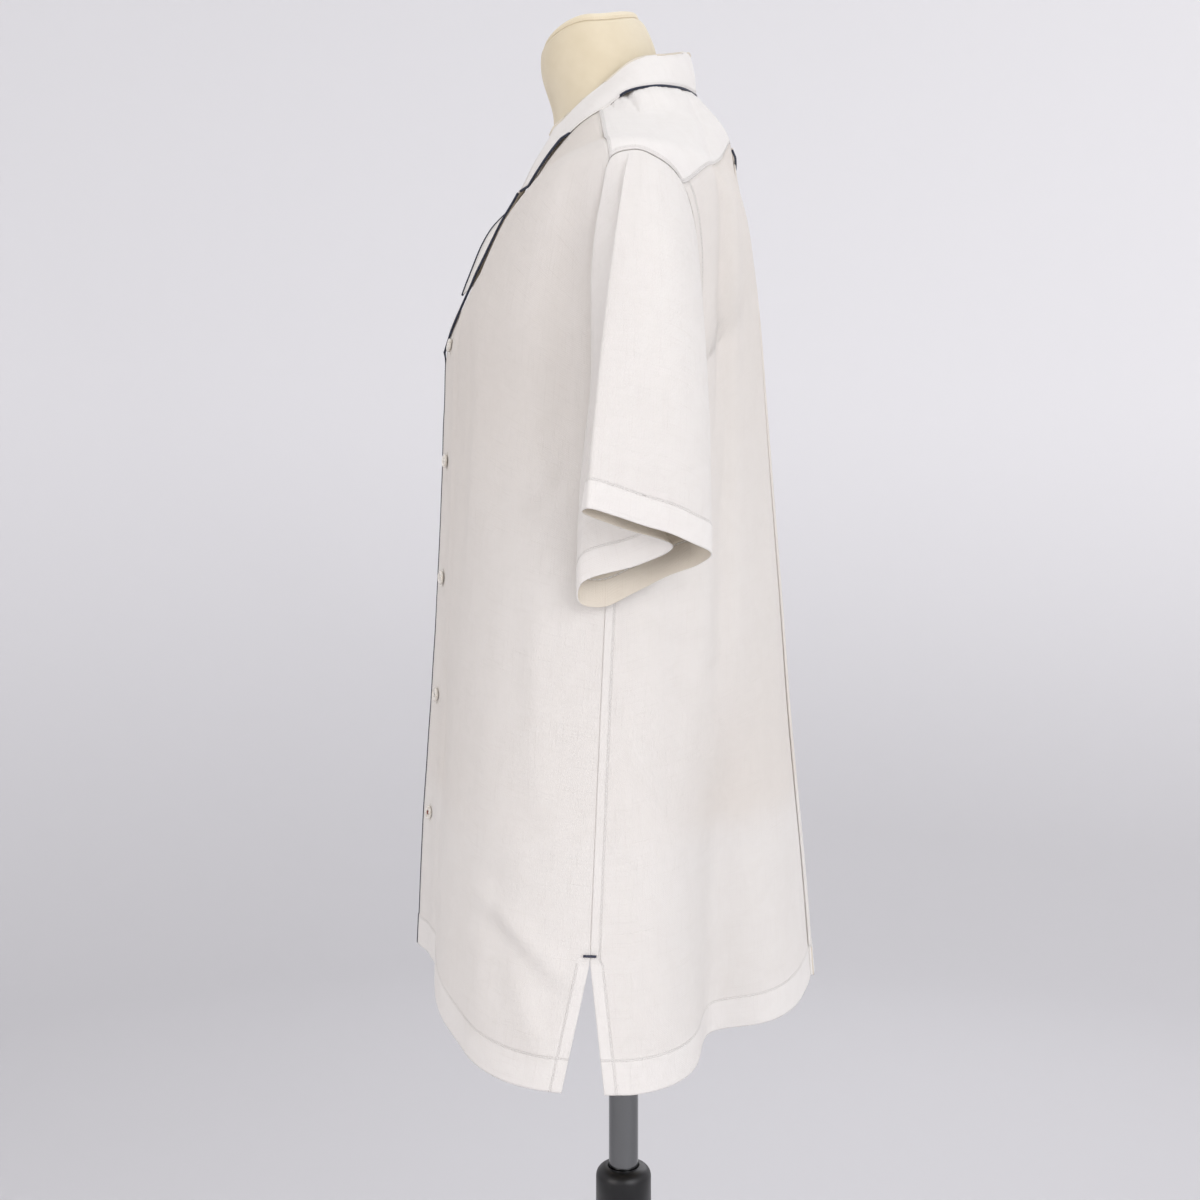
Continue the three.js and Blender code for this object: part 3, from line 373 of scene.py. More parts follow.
def rumple(points, size, height, seed):
    """Soft random hills of linen that was worn and hung, longer than they are wide."""
    flat = points.reshape(-1, 3)
    values = [
        noise.noise(Vector((p[0] / size + seed, p[1] / size, p[2] / size / 2.2)))
        + 0.45 * noise.noise(Vector((p[0] / size * 2.3, p[1] / size * 2.3 + seed, p[2] / size)))
        for p in flat
    ]
    return height * np.array(values).reshape(points.shape[:-1])


# Making pieces

def new_piece(name, bm, materials, rides="figure", nodes=()):
    mesh = bpy.data.meshes.new(name)
    bm.to_mesh(mesh)
    bm.free()
    mesh.polygons.foreach_set("use_smooth", [True] * len(mesh.polygons))
    obj = bpy.data.objects.new(name, mesh)
    bpy.context.collection.objects.link(obj)
    for material in materials:
        mesh.materials.append(material)
    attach(obj, rides)
    if nodes:
        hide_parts(*nodes)
    return obj


def grid_bmesh(points, closed=False, uv=None, facts=None):
    """A grid of points as a bmesh, with its UV map in metres and its facts as vertex attributes."""
    rows, columns = points.shape[:2]
    if closed:
        points = np.concatenate([points, points[:, :1]], 1)
        facts = {name: np.concatenate([f, f[:, :1]], 1) for name, f in (facts or {}).items()}
        columns += 1
    bm = bmesh.new()
    bmesh.ops.create_grid(bm, x_segments=columns - 1, y_segments=rows - 1, size=0.5)
    across = run_lengths(points, 1).mean(0) * MM if uv is None else uv[0]
    upward = run_lengths(points, 0).mean(1) * MM if uv is None else uv[1]
    layer = bm.loops.layers.uv.new("UVMap")
    layers = {name: bm.verts.layers.float.new(name) for name in (facts or {})}
    spots = {}
    for vert in bm.verts:
        i = round((vert.co.x + 0.5) * (columns - 1))
        j = round((vert.co.y + 0.5) * (rows - 1))
        spots[vert] = (i, j)
    for face in bm.faces:
        for loop in face.loops:
            i, j = spots[loop.vert]
            loop[layer].uv = (across[i], upward[j])
    for vert, (i, j) in spots.items():
        vert.co = Vector(points[j, i]) * MM
        for name, values in (facts or {}).items():
            vert[layers[name]] = float(values[j, i])
    if closed:
        bmesh.ops.remove_doubles(bm, verts=bm.verts, dist=1e-6)
    return bm


def cloth(name, points, nodes, facts, closed=False):
    """A sheet of linen: its outer face, its thickness inwards, and the size that it was cut to."""
    bm = grid_bmesh(points, closed, facts=facts)
    obj = new_piece(name + "_cloth", bm, (linen, linen_wrong_side_shaded), nodes=nodes)
    thick = obj.modifiers.new("Thickness", "SOLIDIFY")
    thick.thickness = WALL * MM
    thick.offset = -1
    thick.use_rim = True
    # The inner faces take the wrong-side linen, a darker and warmer copy: painted shade inside the cloth
    thick.material_offset = 1


def tube(name, path, radius, material, sides=12, nodes=(), capped=True):
    """A round cord of cloth or thread along a path of points."""
    path = np.asarray(path, float)
    along = unit(np.gradient(path, axis=0))
    side = unit(np.cross(along, np.array([0.31, 0.17, 0.93])))
    top = np.cross(side, along)
    turns = np.linspace(0, 2 * math.pi, sides, endpoint=False)
    ring = np.cos(turns)[None, :, None] * side[:, None] + np.sin(turns)[None, :, None] * top[:, None]
    points = path[:, None] + radius * ring
    around = np.linspace(0, 2 * math.pi * radius * MM, sides + 1)
    upward = run_lengths(path[:, None], 0)[:, 0] * MM
    bm = grid_bmesh(points, closed=True, uv=(around, upward))
    if capped:
        bmesh.ops.holes_fill(bm, edges=[edge for edge in bm.edges if edge.is_boundary])
    bmesh.ops.recalc_face_normals(bm, faces=bm.faces)
    return new_piece(name, bm, (material,), nodes=nodes)


def spun(profile, steps):
    """A profile of radius and height, spun round the upright axis."""
    bm = bmesh.new()
    verts = [bm.verts.new((r * MM, 0, z * MM)) for r, z in profile]
    edges = [bm.edges.new(pair) for pair in zip(verts, verts[1:])]
    bmesh.ops.spin(
        bm, geom=verts + edges, cent=(0, 0, 0), axis=(0, 0, 1), angle=2 * math.pi, steps=steps, use_merge=True
    )
    bmesh.ops.remove_doubles(bm, verts=bm.verts, dist=1e-6)
    bmesh.ops.recalc_face_normals(bm, faces=bm.faces)
    return bm


def turned(name, profile, material, rides, nodes, segments=96):
    """A turned piece of the stand."""
    obj = new_piece(name, spun(profile, segments), (material,), rides, nodes)
    obj.data.set_sharp_from_angle(angle=math.radians(40))
    return obj


# Materials


def hex_colour(code):
    """A hex colour as the linear values that Blender's sockets take."""
    parts = [int(code[i : i + 2], 16) / 255 for i in (0, 2, 4)]
    return (*[c / 12.92 if c <= 0.04045 else ((c + 0.055) / 1.055) ** 2.4 for c in parts], 1.0)


def new_material(name):
    """A new material, with the one function that adds a node to it."""
    material = bpy.data.materials.new(name)
    material.use_nodes = True
    tree = material.node_tree
    tree.nodes.clear()

    def add(kind, *values, out=None, **named):
        """Values fill the open sockets in order, capital names their own socket; others are settings."""
        node = tree.nodes.new("ShaderNode" + kind)
        for key, value in named.items():
            if key[0].islower():
                setattr(node, key, value)
        filled = list(zip([socket for socket in node.inputs if socket.enabled], values))
        filled += [(node.inputs[k.replace("_", " ")], value) for k, value in named.items() if k[0].isupper()]
        for socket, value in filled:
            if isinstance(value, bpy.types.NodeSocket):
                tree.links.new(value, socket)
            else:
                socket.default_value = value
        given = [node.outputs[out]] if out else [socket for socket in node.outputs if socket.enabled]
        return given[0] if given else None

    return material, add


def linen_material(name, base, slub_tone_and_shade, translucent):
    """Plain-woven linen: a fine even weave, slubs both ways, soft crumples, and rows of stitches."""
    material, add = new_material(name)
    uv = add("UVMap", uv_map="UVMap")
    spot = add("TexCoord", out="Object")
    # Threads lie 0.8 mm apart; slubs are 0.7 mm wide and 20 to 40 mm long
    yarn = 2 * math.pi / 0.0016
    turns = [add("Math", add("SeparateXYZ", uv, out=way), yarn, operation="MULTIPLY") for way in "XY"]
    warp, weft = (add("Math", turn, operation="SINE") for turn in turns)
    weave = add("Math", warp, weft, operation="MULTIPLY")
    thin, long = 1 / 0.0009, 1 / 0.045
    runs = []
    for scale, low, high in (((thin, long, 1), 0.52, 0.78), ((long, thin, 1), 0.54, 0.8)):
        streak = add("TexNoise", add("Mapping", uv, Scale=scale), Scale=1.0, Detail=2.0, Roughness=0.6)
        runs.append(add("MapRange", streak, low, high, interpolation_type="SMOOTHSTEP"))
    slubs = add("Math", *runs, operation="ADD")
    # Crumples of two sizes, as linen keeps after it was folded
    big = add("TexNoise", spot, Scale=17.0, Detail=3.0, Roughness=0.55, Distortion=0.5)
    small = add("TexNoise", spot, Scale=62.0, Detail=3.0, Roughness=0.6, Distortion=0.9)
    # Rows of stitches: threads 2.6 mm long that lie in a narrow groove
    grooves, threads = [], []
    for row, run in (("hem_row", "across"), ("side_row", "along")):
        away = add("Math", add("Attribute", attribute_name=row, out="Fac"), operation="ABSOLUTE")
        stitch = add("Math", add("Attribute", attribute_name=run, out="Fac"), 3.4, operation="DIVIDE")
        lies = add("Math", add("Math", stitch, operation="FRACT"), 0.74, operation="LESS_THAN")
        near, on = (
            add("MapRange", away, low, high, 1.0, 0.0, interpolation_type="SMOOTHSTEP")
            for low, high in ((0.35, 1.5), (0.2, 0.55))
        )
        grooves.append(near)
        threads.append(add("Math", on, lies, operation="MULTIPLY"))
    # Painted shade: the groove mask also darkens the colour along each row of stitches
    groove = add("Math", *grooves, operation="MAXIMUM")
    thread = add("Math", *threads, operation="MAXIMUM")
    double = add("Attribute", attribute_name="double", out="Fac")
    form = add("Attribute", attribute_name="near_form", out="Fac")
    form_show_through_shade = add("Math", form, add("Math", double, -0.6, 1.0, operation="MULTIPLY_ADD"), operation="MULTIPLY")
    # Painted shade: the small crumples darken the colour a little; the same darker tone also marks the slubs
    crumple_shade = add("MapRange", small, 0.35, 0.7, interpolation_type="SMOOTHSTEP")
    # Painted shade: the form's cream, painted on single cloth where the form stands close behind it; double
    # cloth is whiter
    colour = base
    for where, strength, tone in (
        (form_show_through_shade, 0.4, hex_colour("E6DACB")), (double, 0.08, hex_colour("F8F6F3")), (slubs, 0.1, slub_tone_and_shade),
        (crumple_shade, 0.06, slub_tone_and_shade), (groove, 0.14, hex_colour("B9B0A6")), (thread, 0.8, hex_colour("F7F5F1")),
    ):
        share = add("Math", where, strength, operation="MULTIPLY")
        colour = add("Mix", share, colour, tone, data_type="RGBA")
    yarns = add("Math", weave, 0.4, slubs, operation="MULTIPLY_ADD")
    stitches = add("Math", add("Math", thread, 1.5, operation="MULTIPLY"), groove, operation="SUBTRACT")
    normal = add("Bump", Height=big, Distance=0.0011, Strength=0.75)
    for height, depth, strength in ((small, 0.0004, 0.7), (yarns, 0.00012, 0.8), (stitches, 0.0003, 0.9)):
        normal = add("Bump", Height=height, Distance=depth, Strength=strength, Normal=normal)
    face = add(
        "BsdfPrincipled", Base_Color=colour, Roughness=0.88, Normal=normal, Sheen_Weight=0.12,
        Sheen_Roughness=0.5, Specular_IOR_Level=0.25,
    )
    through = add("BsdfTranslucent", Color=colour, Normal=normal)
    single = add("Math", double, -0.25, 1.0, operation="MULTIPLY_ADD")
    share = add("Math", single, translucent, operation="MULTIPLY")
    add("OutputMaterial", add("MixShader", share, face, through))
    return material


def piping_material():
    """Navy cotton twill wound on a cord: fine slanting ribs and a matt, slightly dusty face."""
    material, add = new_material("navy cotton piping")
    uv = add("UVMap", uv_map="UVMap")
    rise = add("Math", add("SeparateXYZ", uv, out="Y"), 4200.0, operation="MULTIPLY")
    slant = add("Math", add("SeparateXYZ", uv, out="X"), 5200.0, rise, operation="MULTIPLY_ADD")
    rib = add("Math", slant, operation="SINE")
    dust = add("TexNoise", add("TexCoord", out="Object"), Scale=420.0, Detail=3.0)
    dusty = add("MapRange", dust, 0.4, 0.75, interpolation_type="SMOOTHSTEP")
    colour = add("Mix", dusty, hex_colour("1B2133"), hex_colour("2B3348"), data_type="RGBA")
    normal = add("Bump", Height=rib, Distance=0.00012, Strength=0.6)
    face = add("BsdfPrincipled", Base_Color=colour, Roughness=0.82, Normal=normal, Sheen_Weight=0.2)
    add("OutputMaterial", face)
    return material


def thread_material(name, code):
    """Twisted sewing thread: a bright matt yarn with a fine twist."""
    material, add = new_material(name)
    spot = add("TexCoord", out="Object")
    twist = add("TexWave", spot, Scale=900.0, wave_type="BANDS", bands_direction="DIAGONAL", out="Fac")
    normal = add("Bump", Height=twist, Distance=0.0001, Strength=0.7)
    share = add("Math", twist, 0.2, operation="MULTIPLY")
    colour = add("Mix", share, hex_colour(code), hex_colour("6E6258"), data_type="RGBA")
    add("OutputMaterial", add("BsdfPrincipled", Base_Color=colour, Roughness=0.7, Normal=normal))
    return material


def shell_material():
    """Polished shell: cloudy layers from cream to grey under a clear gloss."""
    material, add = new_material("polished shell")
    spot = add("TexCoord", out="Object")
    layers = add("TexNoise", spot, Scale=160.0, Detail=4.0, Roughness=0.6, Distortion=1.6)
    streak = add("TexWave", spot, Scale=110.0, Distortion=6.0, Detail=2.0, out="Fac")
    cloudy = add("MapRange", layers, 0.35, 0.7, interpolation_type="SMOOTHSTEP")
    colour = add("Mix", cloudy, hex_colour("F1ECE2"), hex_colour("CFC7BA"), data_type="RGBA")
    share = add("Math", streak, 0.16, operation="MULTIPLY")
    colour = add("Mix", share, colour, hex_colour("DCE3E4"), data_type="RGBA")
    rough = add("Math", layers, 0.16, 0.12, operation="MULTIPLY_ADD")
    face = add("BsdfPrincipled", Base_Color=colour, Roughness=rough, Coat_Weight=0.5, Coat_Roughness=0.06)
    add("OutputMaterial", face)
    return material


def jersey_material():
    """Cream cotton jersey stretched over the form: fine knitted columns with painted shade between them, and
    a soft uneven tone.
    """
    material, add = new_material("cream cotton jersey")
    uv = add("UVMap", uv_map="UVMap")
    spot = add("TexCoord", out="Object")
    knit = []
    for way, pitch in (("X", 0.0013), ("Y", 0.001)):
        turns = add("Math", add("SeparateXYZ", uv, out=way), math.pi / pitch, operation="MULTIPLY")
        knit.append(add("Math", add("Math", turns, operation="SINE"), operation="ABSOLUTE"))
    wale, course = knit
    tone = add("TexNoise", spot, Scale=11.0, Detail=4.0, Roughness=0.6)
    fuzz = add("TexNoise", spot, Scale=900.0, Detail=2.0)
    uneven = add("MapRange", tone, 0.3, 0.75, interpolation_type="SMOOTHSTEP")
    colour = add("Mix", uneven, hex_colour("EADFC6"), hex_colour("DCCFB2"), data_type="RGBA")
    # Painted shade: the gaps between the knit columns are darkened
    between = add("Math", wale, -0.14, 0.14, operation="MULTIPLY_ADD")
    colour = add("Mix", between, colour, hex_colour("BBA98A"), data_type="RGBA")
    height = add("Math", course, 0.35, add("Math", fuzz, 0.4, operation="MULTIPLY"), operation="MULTIPLY_ADD")
    height = add("Math", wale, 0.7, height, operation="MULTIPLY_ADD")
    normal = add("Bump", Height=height, Distance=0.00025, Strength=0.7)
    face = add(
        "BsdfPrincipled", Base_Color=colour, Roughness=0.92, Normal=normal, Sheen_Weight=0.25,
        Sheen_Roughness=0.45,
    )
    add("OutputMaterial", face)
    return material


def chrome_material():
    """Polished chrome tube: mirror bright, with faint wiping marks round it."""
    material, add = new_material("polished chrome")
    stretched = add("Mapping", add("TexCoord", out="Object"), Scale=(30, 30, 900))
    wiped = add("TexNoise", stretched, Scale=1.0, Detail=3.0)
    rough = add("Math", wiped, 0.1, 0.07, operation="MULTIPLY_ADD")
    face = add("BsdfPrincipled", Base_Color=hex_colour("7A7B7C"), Roughness=rough, Metallic=1.0)
    add("OutputMaterial", face)
    return material


def black_material(name, grain, depth, rough):
    """Black plastic or powder coat: a fine even grain that breaks the highlight."""
    material, add = new_material(name)
    spot = add("TexCoord", out="Object")
    pebble = add("TexNoise", spot, Scale=grain, Detail=2.0, Roughness=0.5)
    scuff = add("TexNoise", spot, Scale=24.0, Detail=6.0, Roughness=0.7)
    scuffed = add("MapRange", scuff, 0.5, 0.9, interpolation_type="SMOOTHSTEP")
    colour = add("Mix", scuffed, hex_colour("08080A"), hex_colour("131315"), data_type="RGBA")
    normal = add("Bump", Height=pebble, Distance=depth, Strength=0.6)
    rough = add("Math", scuff, 0.12, rough, operation="MULTIPLY_ADD")
    add("OutputMaterial", add("BsdfPrincipled", Base_Color=colour, Roughness=rough, Normal=normal))
    return material


def studio_material():
    """Seamless pale paper behind and under the stand, with painted shade that greys it towards the floor."""
    material, add = new_material("pale studio paper, painted glow and shade")
    spot = add("TexCoord", out="Object")
    grain = add("TexNoise", spot, Scale=3.0, Detail=3.0)
    # Painted shade: the paper's colour is darker low down and lighter high up
    height = add("SeparateXYZ", spot, out="Z")
    high = add("MapRange", height, -0.4, 1.6, interpolation_type="SMOOTHSTEP")
    colour = add("Mix", high, hex_colour("C6C5C7"), hex_colour("D4D3D5"), data_type="RGBA")
    share = add("Math", grain, 0.04, operation="MULTIPLY")
    colour = add("Mix", share, colour, hex_colour("C6C6C9"), data_type="RGBA")
    # Painted light: the paper glows by emission as if lamps out of sight lit it, most of all high up and
    # behind the wearer
    side = add("Math", add("SeparateXYZ", spot, out="Y"), 0.13, 1.0, operation="MULTIPLY_ADD")
    lit = add("MapRange", height, -0.8, 1.6, interpolation_type="SMOOTHSTEP")
    glow = add("Math", add("Math", lit, 0.33, operation="MULTIPLY"), side, operation="MULTIPLY")
    face = add(
        "BsdfPrincipled", Base_Color=colour, Roughness=0.95, Emission_Color=colour, Emission_Strength=glow
    )
    add("OutputMaterial", face)
    return material


linen = linen_material("white linen", hex_colour("F4F1ED"), hex_colour("D8D1C8"), 0.22)
# Painted shade: a darker, warmer copy of the linen for the cloth's inner faces
linen_wrong_side_shaded = linen_material("white linen, wrong side, painted shade", hex_colour("E6DDCD"), hex_colour("CDBFA8"), 0.22)
piping = piping_material()
white_thread = thread_material("white thread", "EDEAE4")
red_thread = thread_material("red-brown thread", "8A4A40")
navy_thread = thread_material("navy thread", "262D45")
shell = shell_material()
jersey = jersey_material()
chrome = chrome_material()
black_plastic = black_material("satin black plastic", 2600.0, 0.00004, 0.34)
black_coat = black_material("black powder coat", 1500.0, 0.00008, 0.42)

# The form and what shows of it


def form_ring(row, turns):
    values = dict(zip(FORM_COLUMNS, row))
    s, c = np.sin(turns), np.cos(turns)
    depth = np.where(c > 0, values["front"] + values["middle"], values["back"] - values["middle"])
    z = mix(values["z_side"], np.where(c > 0, values["z_front"], values["z_back"]), c * c)
    return np.stack([values["half"] * s, values["middle"] - depth * c, z], -1)


def shoulder_ring(t, turns):
    clear = 0.55 + 1.5 + 13 * np.cos(turns) ** 2
    return plain_body(t, turns) - outward(plain_body, np.full_like(turns, t), turns) * clear[:, None]


def smooth_between(rings, steps):
    """Rings between the rings given, on smooth curves through their points."""
    rings = np.asarray(rings)
    made = []
    last = len(rings) - 1
    for k in range(last):
        a, b, c, d = (rings[min(max(k + o, 0), last)] for o in (-1, 0, 1, 2))
        for w in np.linspace(0, 1, steps, endpoint=False):
            leave, arrive = (c - a) / 2, (d - b) / 2
            made.append(
                b * (2 * w**3 - 3 * w**2 + 1) + leave * (w**3 - 2 * w**2 + w)
                + c * (3 * w**2 - 2 * w**3) + arrive * (w**3 - w**2)
            )
    made.append(rings[last])
    return np.asarray(made)


def near_form(points):
    """1 where the form is close behind the cloth, fading out with the room between them."""
    rows = table(("t",) + FORM_COLUMNS, [(row[1],) + row for row in FORM_RINGS])
    z = np.clip(points[..., 2], 936, 1437)
    half, front, back = (read(rows, name, z) for name in ("half", "front", "back"))
    depth = np.where(points[..., 1] < 0, front, back)
    reach = np.hypot(points[..., 0] / half, points[..., 1] / depth)
    room = np.hypot(points[..., 0], points[..., 1]) * (1 - 1 / np.maximum(reach, 0.2))
    below = ease((points[..., 2] - 925) / 40)
    return np.exp(-((np.maximum(room, 0) / 52) ** 2)) * below


def make_form():
    turns = np.linspace(0, 2 * math.pi, 120, endpoint=False)
    main = [form_ring(row, turns) for row in FORM_RINGS]
    main += [shoulder_ring(t, turns) for t in FORM_SHOULDERS]
    main += [form_ring(row, turns) for row in NECK_RINGS]
    smooth = smooth_between(main, 5)
    bottom = main[0]
    socket = np.stack([13 * np.sin(turns), -13 * np.cos(turns), np.full_like(turns, BUST_BOTTOM)], -1)
    inner = [socket + (0, 0, 78), socket, mix(socket, bottom, 0.5), mix(socket, bottom, 0.97)]
    points = np.concatenate([np.asarray(inner), smooth])
    bm = grid_bmesh(points, closed=True)
    bmesh.ops.holes_fill(bm, edges=[edge for edge in bm.edges if edge.is_boundary])
    new_piece("form_body", bm, (jersey,), nodes=("bust",)).data.set_sharp_from_angle(angle=0.9)
    rim = main[-1]
    centre = rim.mean(0)
    levels = ((1, 0.3), (1.008, 1.2), (1.01, 2.2), (0.998, 3.6), (0.965, 5), (0.91, 6.4), (0.83, 7.9),
              (0.71, 9.3), (0.56, 10.6), (0.38, 11.3), (0.18, 11.6))
    cap = np.asarray([mix(centre, rim, spread) + (0, 0, rise) for spread, rise in levels])
    bm = grid_bmesh(cap, closed=True)
    bmesh.ops.holes_fill(bm, edges=[edge for edge in bm.edges if edge.is_boundary])
    new_piece("form_neck_cap", bm, (jersey,), nodes=("neck_cap",))
    # The seam where the cover's neck meets its cap
    loop = np.concatenate([rim, rim[:1]]) + (0, 0, 0.2)
    tube("form_neck_seam", mix(centre, loop, 1.012), 0.7, jersey, sides=8, capped=False)


make_form()

# The shirt's panels


def stitched(hem_row, side_row, across, along, double, near=0.0):
    """How far each spot is from the rows of stitches, how doubled its cloth is and how near the form."""
    rows = {
        "hem_row": hem_row, "side_row": side_row, "across": across, "along": along, "double": double,
        "near_form": near,
    }
    return {name: row + 0.0 * along for name, row in rows.items()}


def front_points(side, us, vs):
    u, v = np.meshgrid(us, vs)
    edge_x = mix(-LAP_HALF, FOLD_TOP_X, clamp((v - BREAK) / (1 - BREAK)))
    edge_angle = angle_at_x(v, edge_x, "front")
    low = v < SIDE_SHARE
    side_t = (v / SIDE_SHARE) * UNDERARM
    hole_t, hole_angle = armhole_at(clamp((v - SIDE_SHARE) / (1 - SIDE_SHARE)) * FRONT_CORNER)
    flank_t = np.where(low, side_t, hole_t)
    flank_angle = np.where(low, side_edge(np.minimum(side_t, UNDERARM), -47.0), hole_angle)
    corner_t, corner_angle = armhole_at(FRONT_CORNER)
    fold_top = angle_at_x(1.0, FOLD_TOP_X, "front")
    along = clamp((u - NECK_SHARE) / (1 - NECK_SHARE))
    top_t = mix(1, corner_t, along)
    top_angle = np.where(
        u < NECK_SHARE, mix(fold_top, NECK_SEAM, u / NECK_SHARE), mix(NECK_SEAM, corner_angle, along)
    )
    rise = v**6
    t = mix(v, flank_t, u) + rise * (top_t - mix(1, corner_t, u))
    angle = mix(edge_angle, flank_angle, u) + rise * (top_angle - mix(fold_top, corner_angle, u))
    lift = lap_lift(side, plain_body(t, angle)[..., 0])
    points = body(t, side * angle)
    return points + outward(body, t, side * angle) * np.asarray(lift)[..., None]


def band_rows(count, band, length):
    """Rows from 0 to 1 with extra ones beside the stitched band at the start."""
    inside = [0, 1.2, band * 0.5, band - 1.2, band - 0.2, band + 0.9, band + 2.6]
    rest = np.linspace((band + 7) / length, 1, count)
    return np.concatenate([np.array(inside) / length, rest])


def make_front(name, side):
    us = np.linspace(0, 1, 84)
    us = us * mix(0.35, 1, us**0.8)
    side_band = 1 - np.array([10.4, 9.2, 8.4, 0.9, 0]) / 300
    us = np.concatenate([[0, 0.0012], us[(us > 0.004) & (us < 0.955)], side_band])
    vs = band_rows(130, 25, 600)
    points = front_points(side, us, vs)
    if side < 0:
        points = points[:, ::-1]
    normal = normals_of(points)
    up = run_lengths(points, 0)
    across = run_lengths(points, 1)
    from_edge = across if side > 0 else across[:, -1:] - across
    from_side = across[:, -1:] - across if side > 0 else across
    vent = np.broadcast_to((vs < VENT_TOP / UNDERARM * SIDE_SHARE)[:, None], up.shape)
    hem = ease((25.4 - up) / 1.6)
    flap = ease((9.6 - from_side) / 1.2) * vent
    lift = crease_lift(points) * ease((from_edge - 20) / 40) + rumple(points, 46, 0.9, 3.1 * side)
    lift = lift * ease(from_side / 14 + 0.1) + 0.5 * np.maximum(hem, flap)
    points = points + normal * lift[..., None]
    sides = np.where(vent & (from_side < 150), from_side - 8.6, from_edge - 1.6)
    facts = stitched(up - 24, sides, across, up, np.maximum(hem, flap), near_form(points))
    cloth(name, points, (name,), facts)
    return points, normals_of(points)


left_front, left_front_normals = make_front("left_front", 1)
right_front, right_front_normals = make_front("right_front", -1)


def yoke_seam_ring(angle):
    corner_t, corner_angle = armhole_at(YOKE_CORNER)
    pleat = angle_at_x(YOKE_CENTRE, PLEAT_REACH, "back")
    return mix(corner_t, YOKE_CENTRE, ease((angle - corner_angle) / (pleat - corner_angle)) ** 0.7)


def back_side(v):
    low = v < BACK_SHARE
    t = (v / BACK_SHARE) * UNDERARM
    above = clamp((v - BACK_SHARE) / (1 - BACK_SHARE))
    hole_t, hole_angle = armhole_at(mix(ARMHOLE_ROWS, YOKE_CORNER, above))
    return np.where(low, t, hole_t), np.where(low, side_edge(np.minimum(t, UNDERARM), -17.0), hole_angle)


def pleat_profile(steps):
    """The box pleat's section from its outer reach to the centre, finer than the table's points."""
    names = ("across", "shut", "open")
    rows = np.stack([PLEAT[name][::-1] for name in names], -1)
    fine = smooth_between(rows[1:], steps)
    lead = np.stack([mix(rows[0], rows[1], w) for w in np.linspace(0, 1, 8, endpoint=False)])
    return np.concatenate([lead, fine])


def back_half(side, vs):
    v = vs[:, None]
    flank_t, flank_angle = back_side(v)
    centre_t = v * YOKE_CENTRE
    corner_t, corner_angle = armhole_at(YOKE_CORNER)
    near = np.array([0, 0.9, 6.2, 7.4, 8.6]) / 260
    share = np.concatenate([near, np.linspace(0.045, 1, 62)[:-1]])[None]
    pleat_angle = angle_at_x(centre_t, PLEAT_REACH, "back")
    angle = mix(flank_angle, pleat_angle, share)
    seam = yoke_seam_ring(np.maximum(angle, corner_angle)) - mix(corner_t, YOKE_CENTRE, share)
    t = mix(flank_t, centre_t, share) + v**8 * seam
    plain = body(t, side * angle)
    section = pleat_profile(4)
    turn = angle_at_x(centre_t + 0 * section[None, :, 0], section[None, :, 0], "back")
    rings = np.broadcast_to(centre_t, turn.shape)
    open_share = ease((v - 0.55) / 0.45)
    lift = mix(section[None, :, 2], section[None, :, 1], open_share)
    folded = body(rings, side * turn) + outward(plain_body, rings, side * turn) * lift[..., None]
    return np.concatenate([plain, folded], 1), plain.shape[1]


def make_back():
    vs = band_rows(130, 25, 640)
    left, plain_columns = back_half(1, vs)
    right = back_half(-1, vs)[0]
    points = np.concatenate([left, right[:, :-1][:, ::-1]], 1)
    v = vs[:, None]
    columns = points.shape[1]
    flat_share = np.ones(columns)
    flat_share[plain_columns - 4 : columns - plain_columns + 4] = 0
    up = run_lengths(points, 0)
    across = run_lengths(points, 1)
    from_side = np.minimum(across, across[:, -1:] - across)
    vent = np.broadcast_to(v < VENT_TOP / UNDERARM * BACK_SHARE, up.shape)
    hem = ease((25.4 - up) / 1.6)
    flap = ease((9.6 - from_side) / 1.2) * vent
    fell = ease((7.6 - from_side) / 1.2) * ease((up[:, :1] - 100) / 3) * ease((BACK_SHARE - v) / 0.02)
    normal = normals_of(points)
    soft = (crease_lift(points) + rumple(points, 50, 1.0, 5.7)) * ease(from_side / 14 + 0.1)
    soft = soft * flat_share * ease((1 - v) / 0.03)
    lift = soft + 0.5 * np.maximum(np.maximum(hem, flap), fell)
    points = points + normal * lift[..., None]
    double = np.maximum(np.maximum(hem, flap), 0.4 * fell)
    sides = from_side - np.where(vent, 8.6, 6.6)
    facts = stitched(up - 24, sides, across, up, double, near_form(points))
    cloth("back", points, ("back",), facts)


make_back()


def lapel_points(side, start, lift, taper, bow, us, vs):
    u, v = np.meshgrid(us, mix(start, 1, vs))
    fold_x, fold_t = mix(-LAP_HALF, FOLD_TOP_X - 1, v), mix(BREAK, 0.985, v)
    edge_x, edge_t = mix(-LAP_HALF, NOTCH_X, v), mix(BREAK, NOTCH_T, v)
    t, x = mix(fold_t, edge_t, u), mix(fold_x, edge_x, u)
    angle = side * angle_at_x(t, x, "front")
    stand = lift * ease(v * 1.1) ** taper * u**1.6 + bow * np.sin(math.pi * u) * v
    room = WALL + 1.6 + lap_lift(side, x) + stand
    return body(t, angle) + outward(plain_body, t, angle) * room[..., None]


def make_lapel(name, side, *shape):
    us, vs = np.linspace(0, 1, 26), np.linspace(0, 1, 54)
    points = lapel_points(side, *shape, us, vs)
    if side < 0:
        points = points[:, ::-1]
    across = run_lengths(points, 1)
    from_edge = across[:, -1:] - across if side > 0 else across
    points = points + normals_of(points) * rumple(points, 30, 0.4, 2.0)[..., None]
    facts = stitched(NO_ROW, from_edge - 1.6, across, run_lengths(points, 0), 0.9)
    cloth(name, points, (name,), facts)
    return points, normals_of(points)


left_lapel, left_lapel_normals = make_lapel("left_lapel", *LAPELS["left"])
right_lapel, right_lapel_normals = make_lapel("right_lapel", *LAPELS["right"])


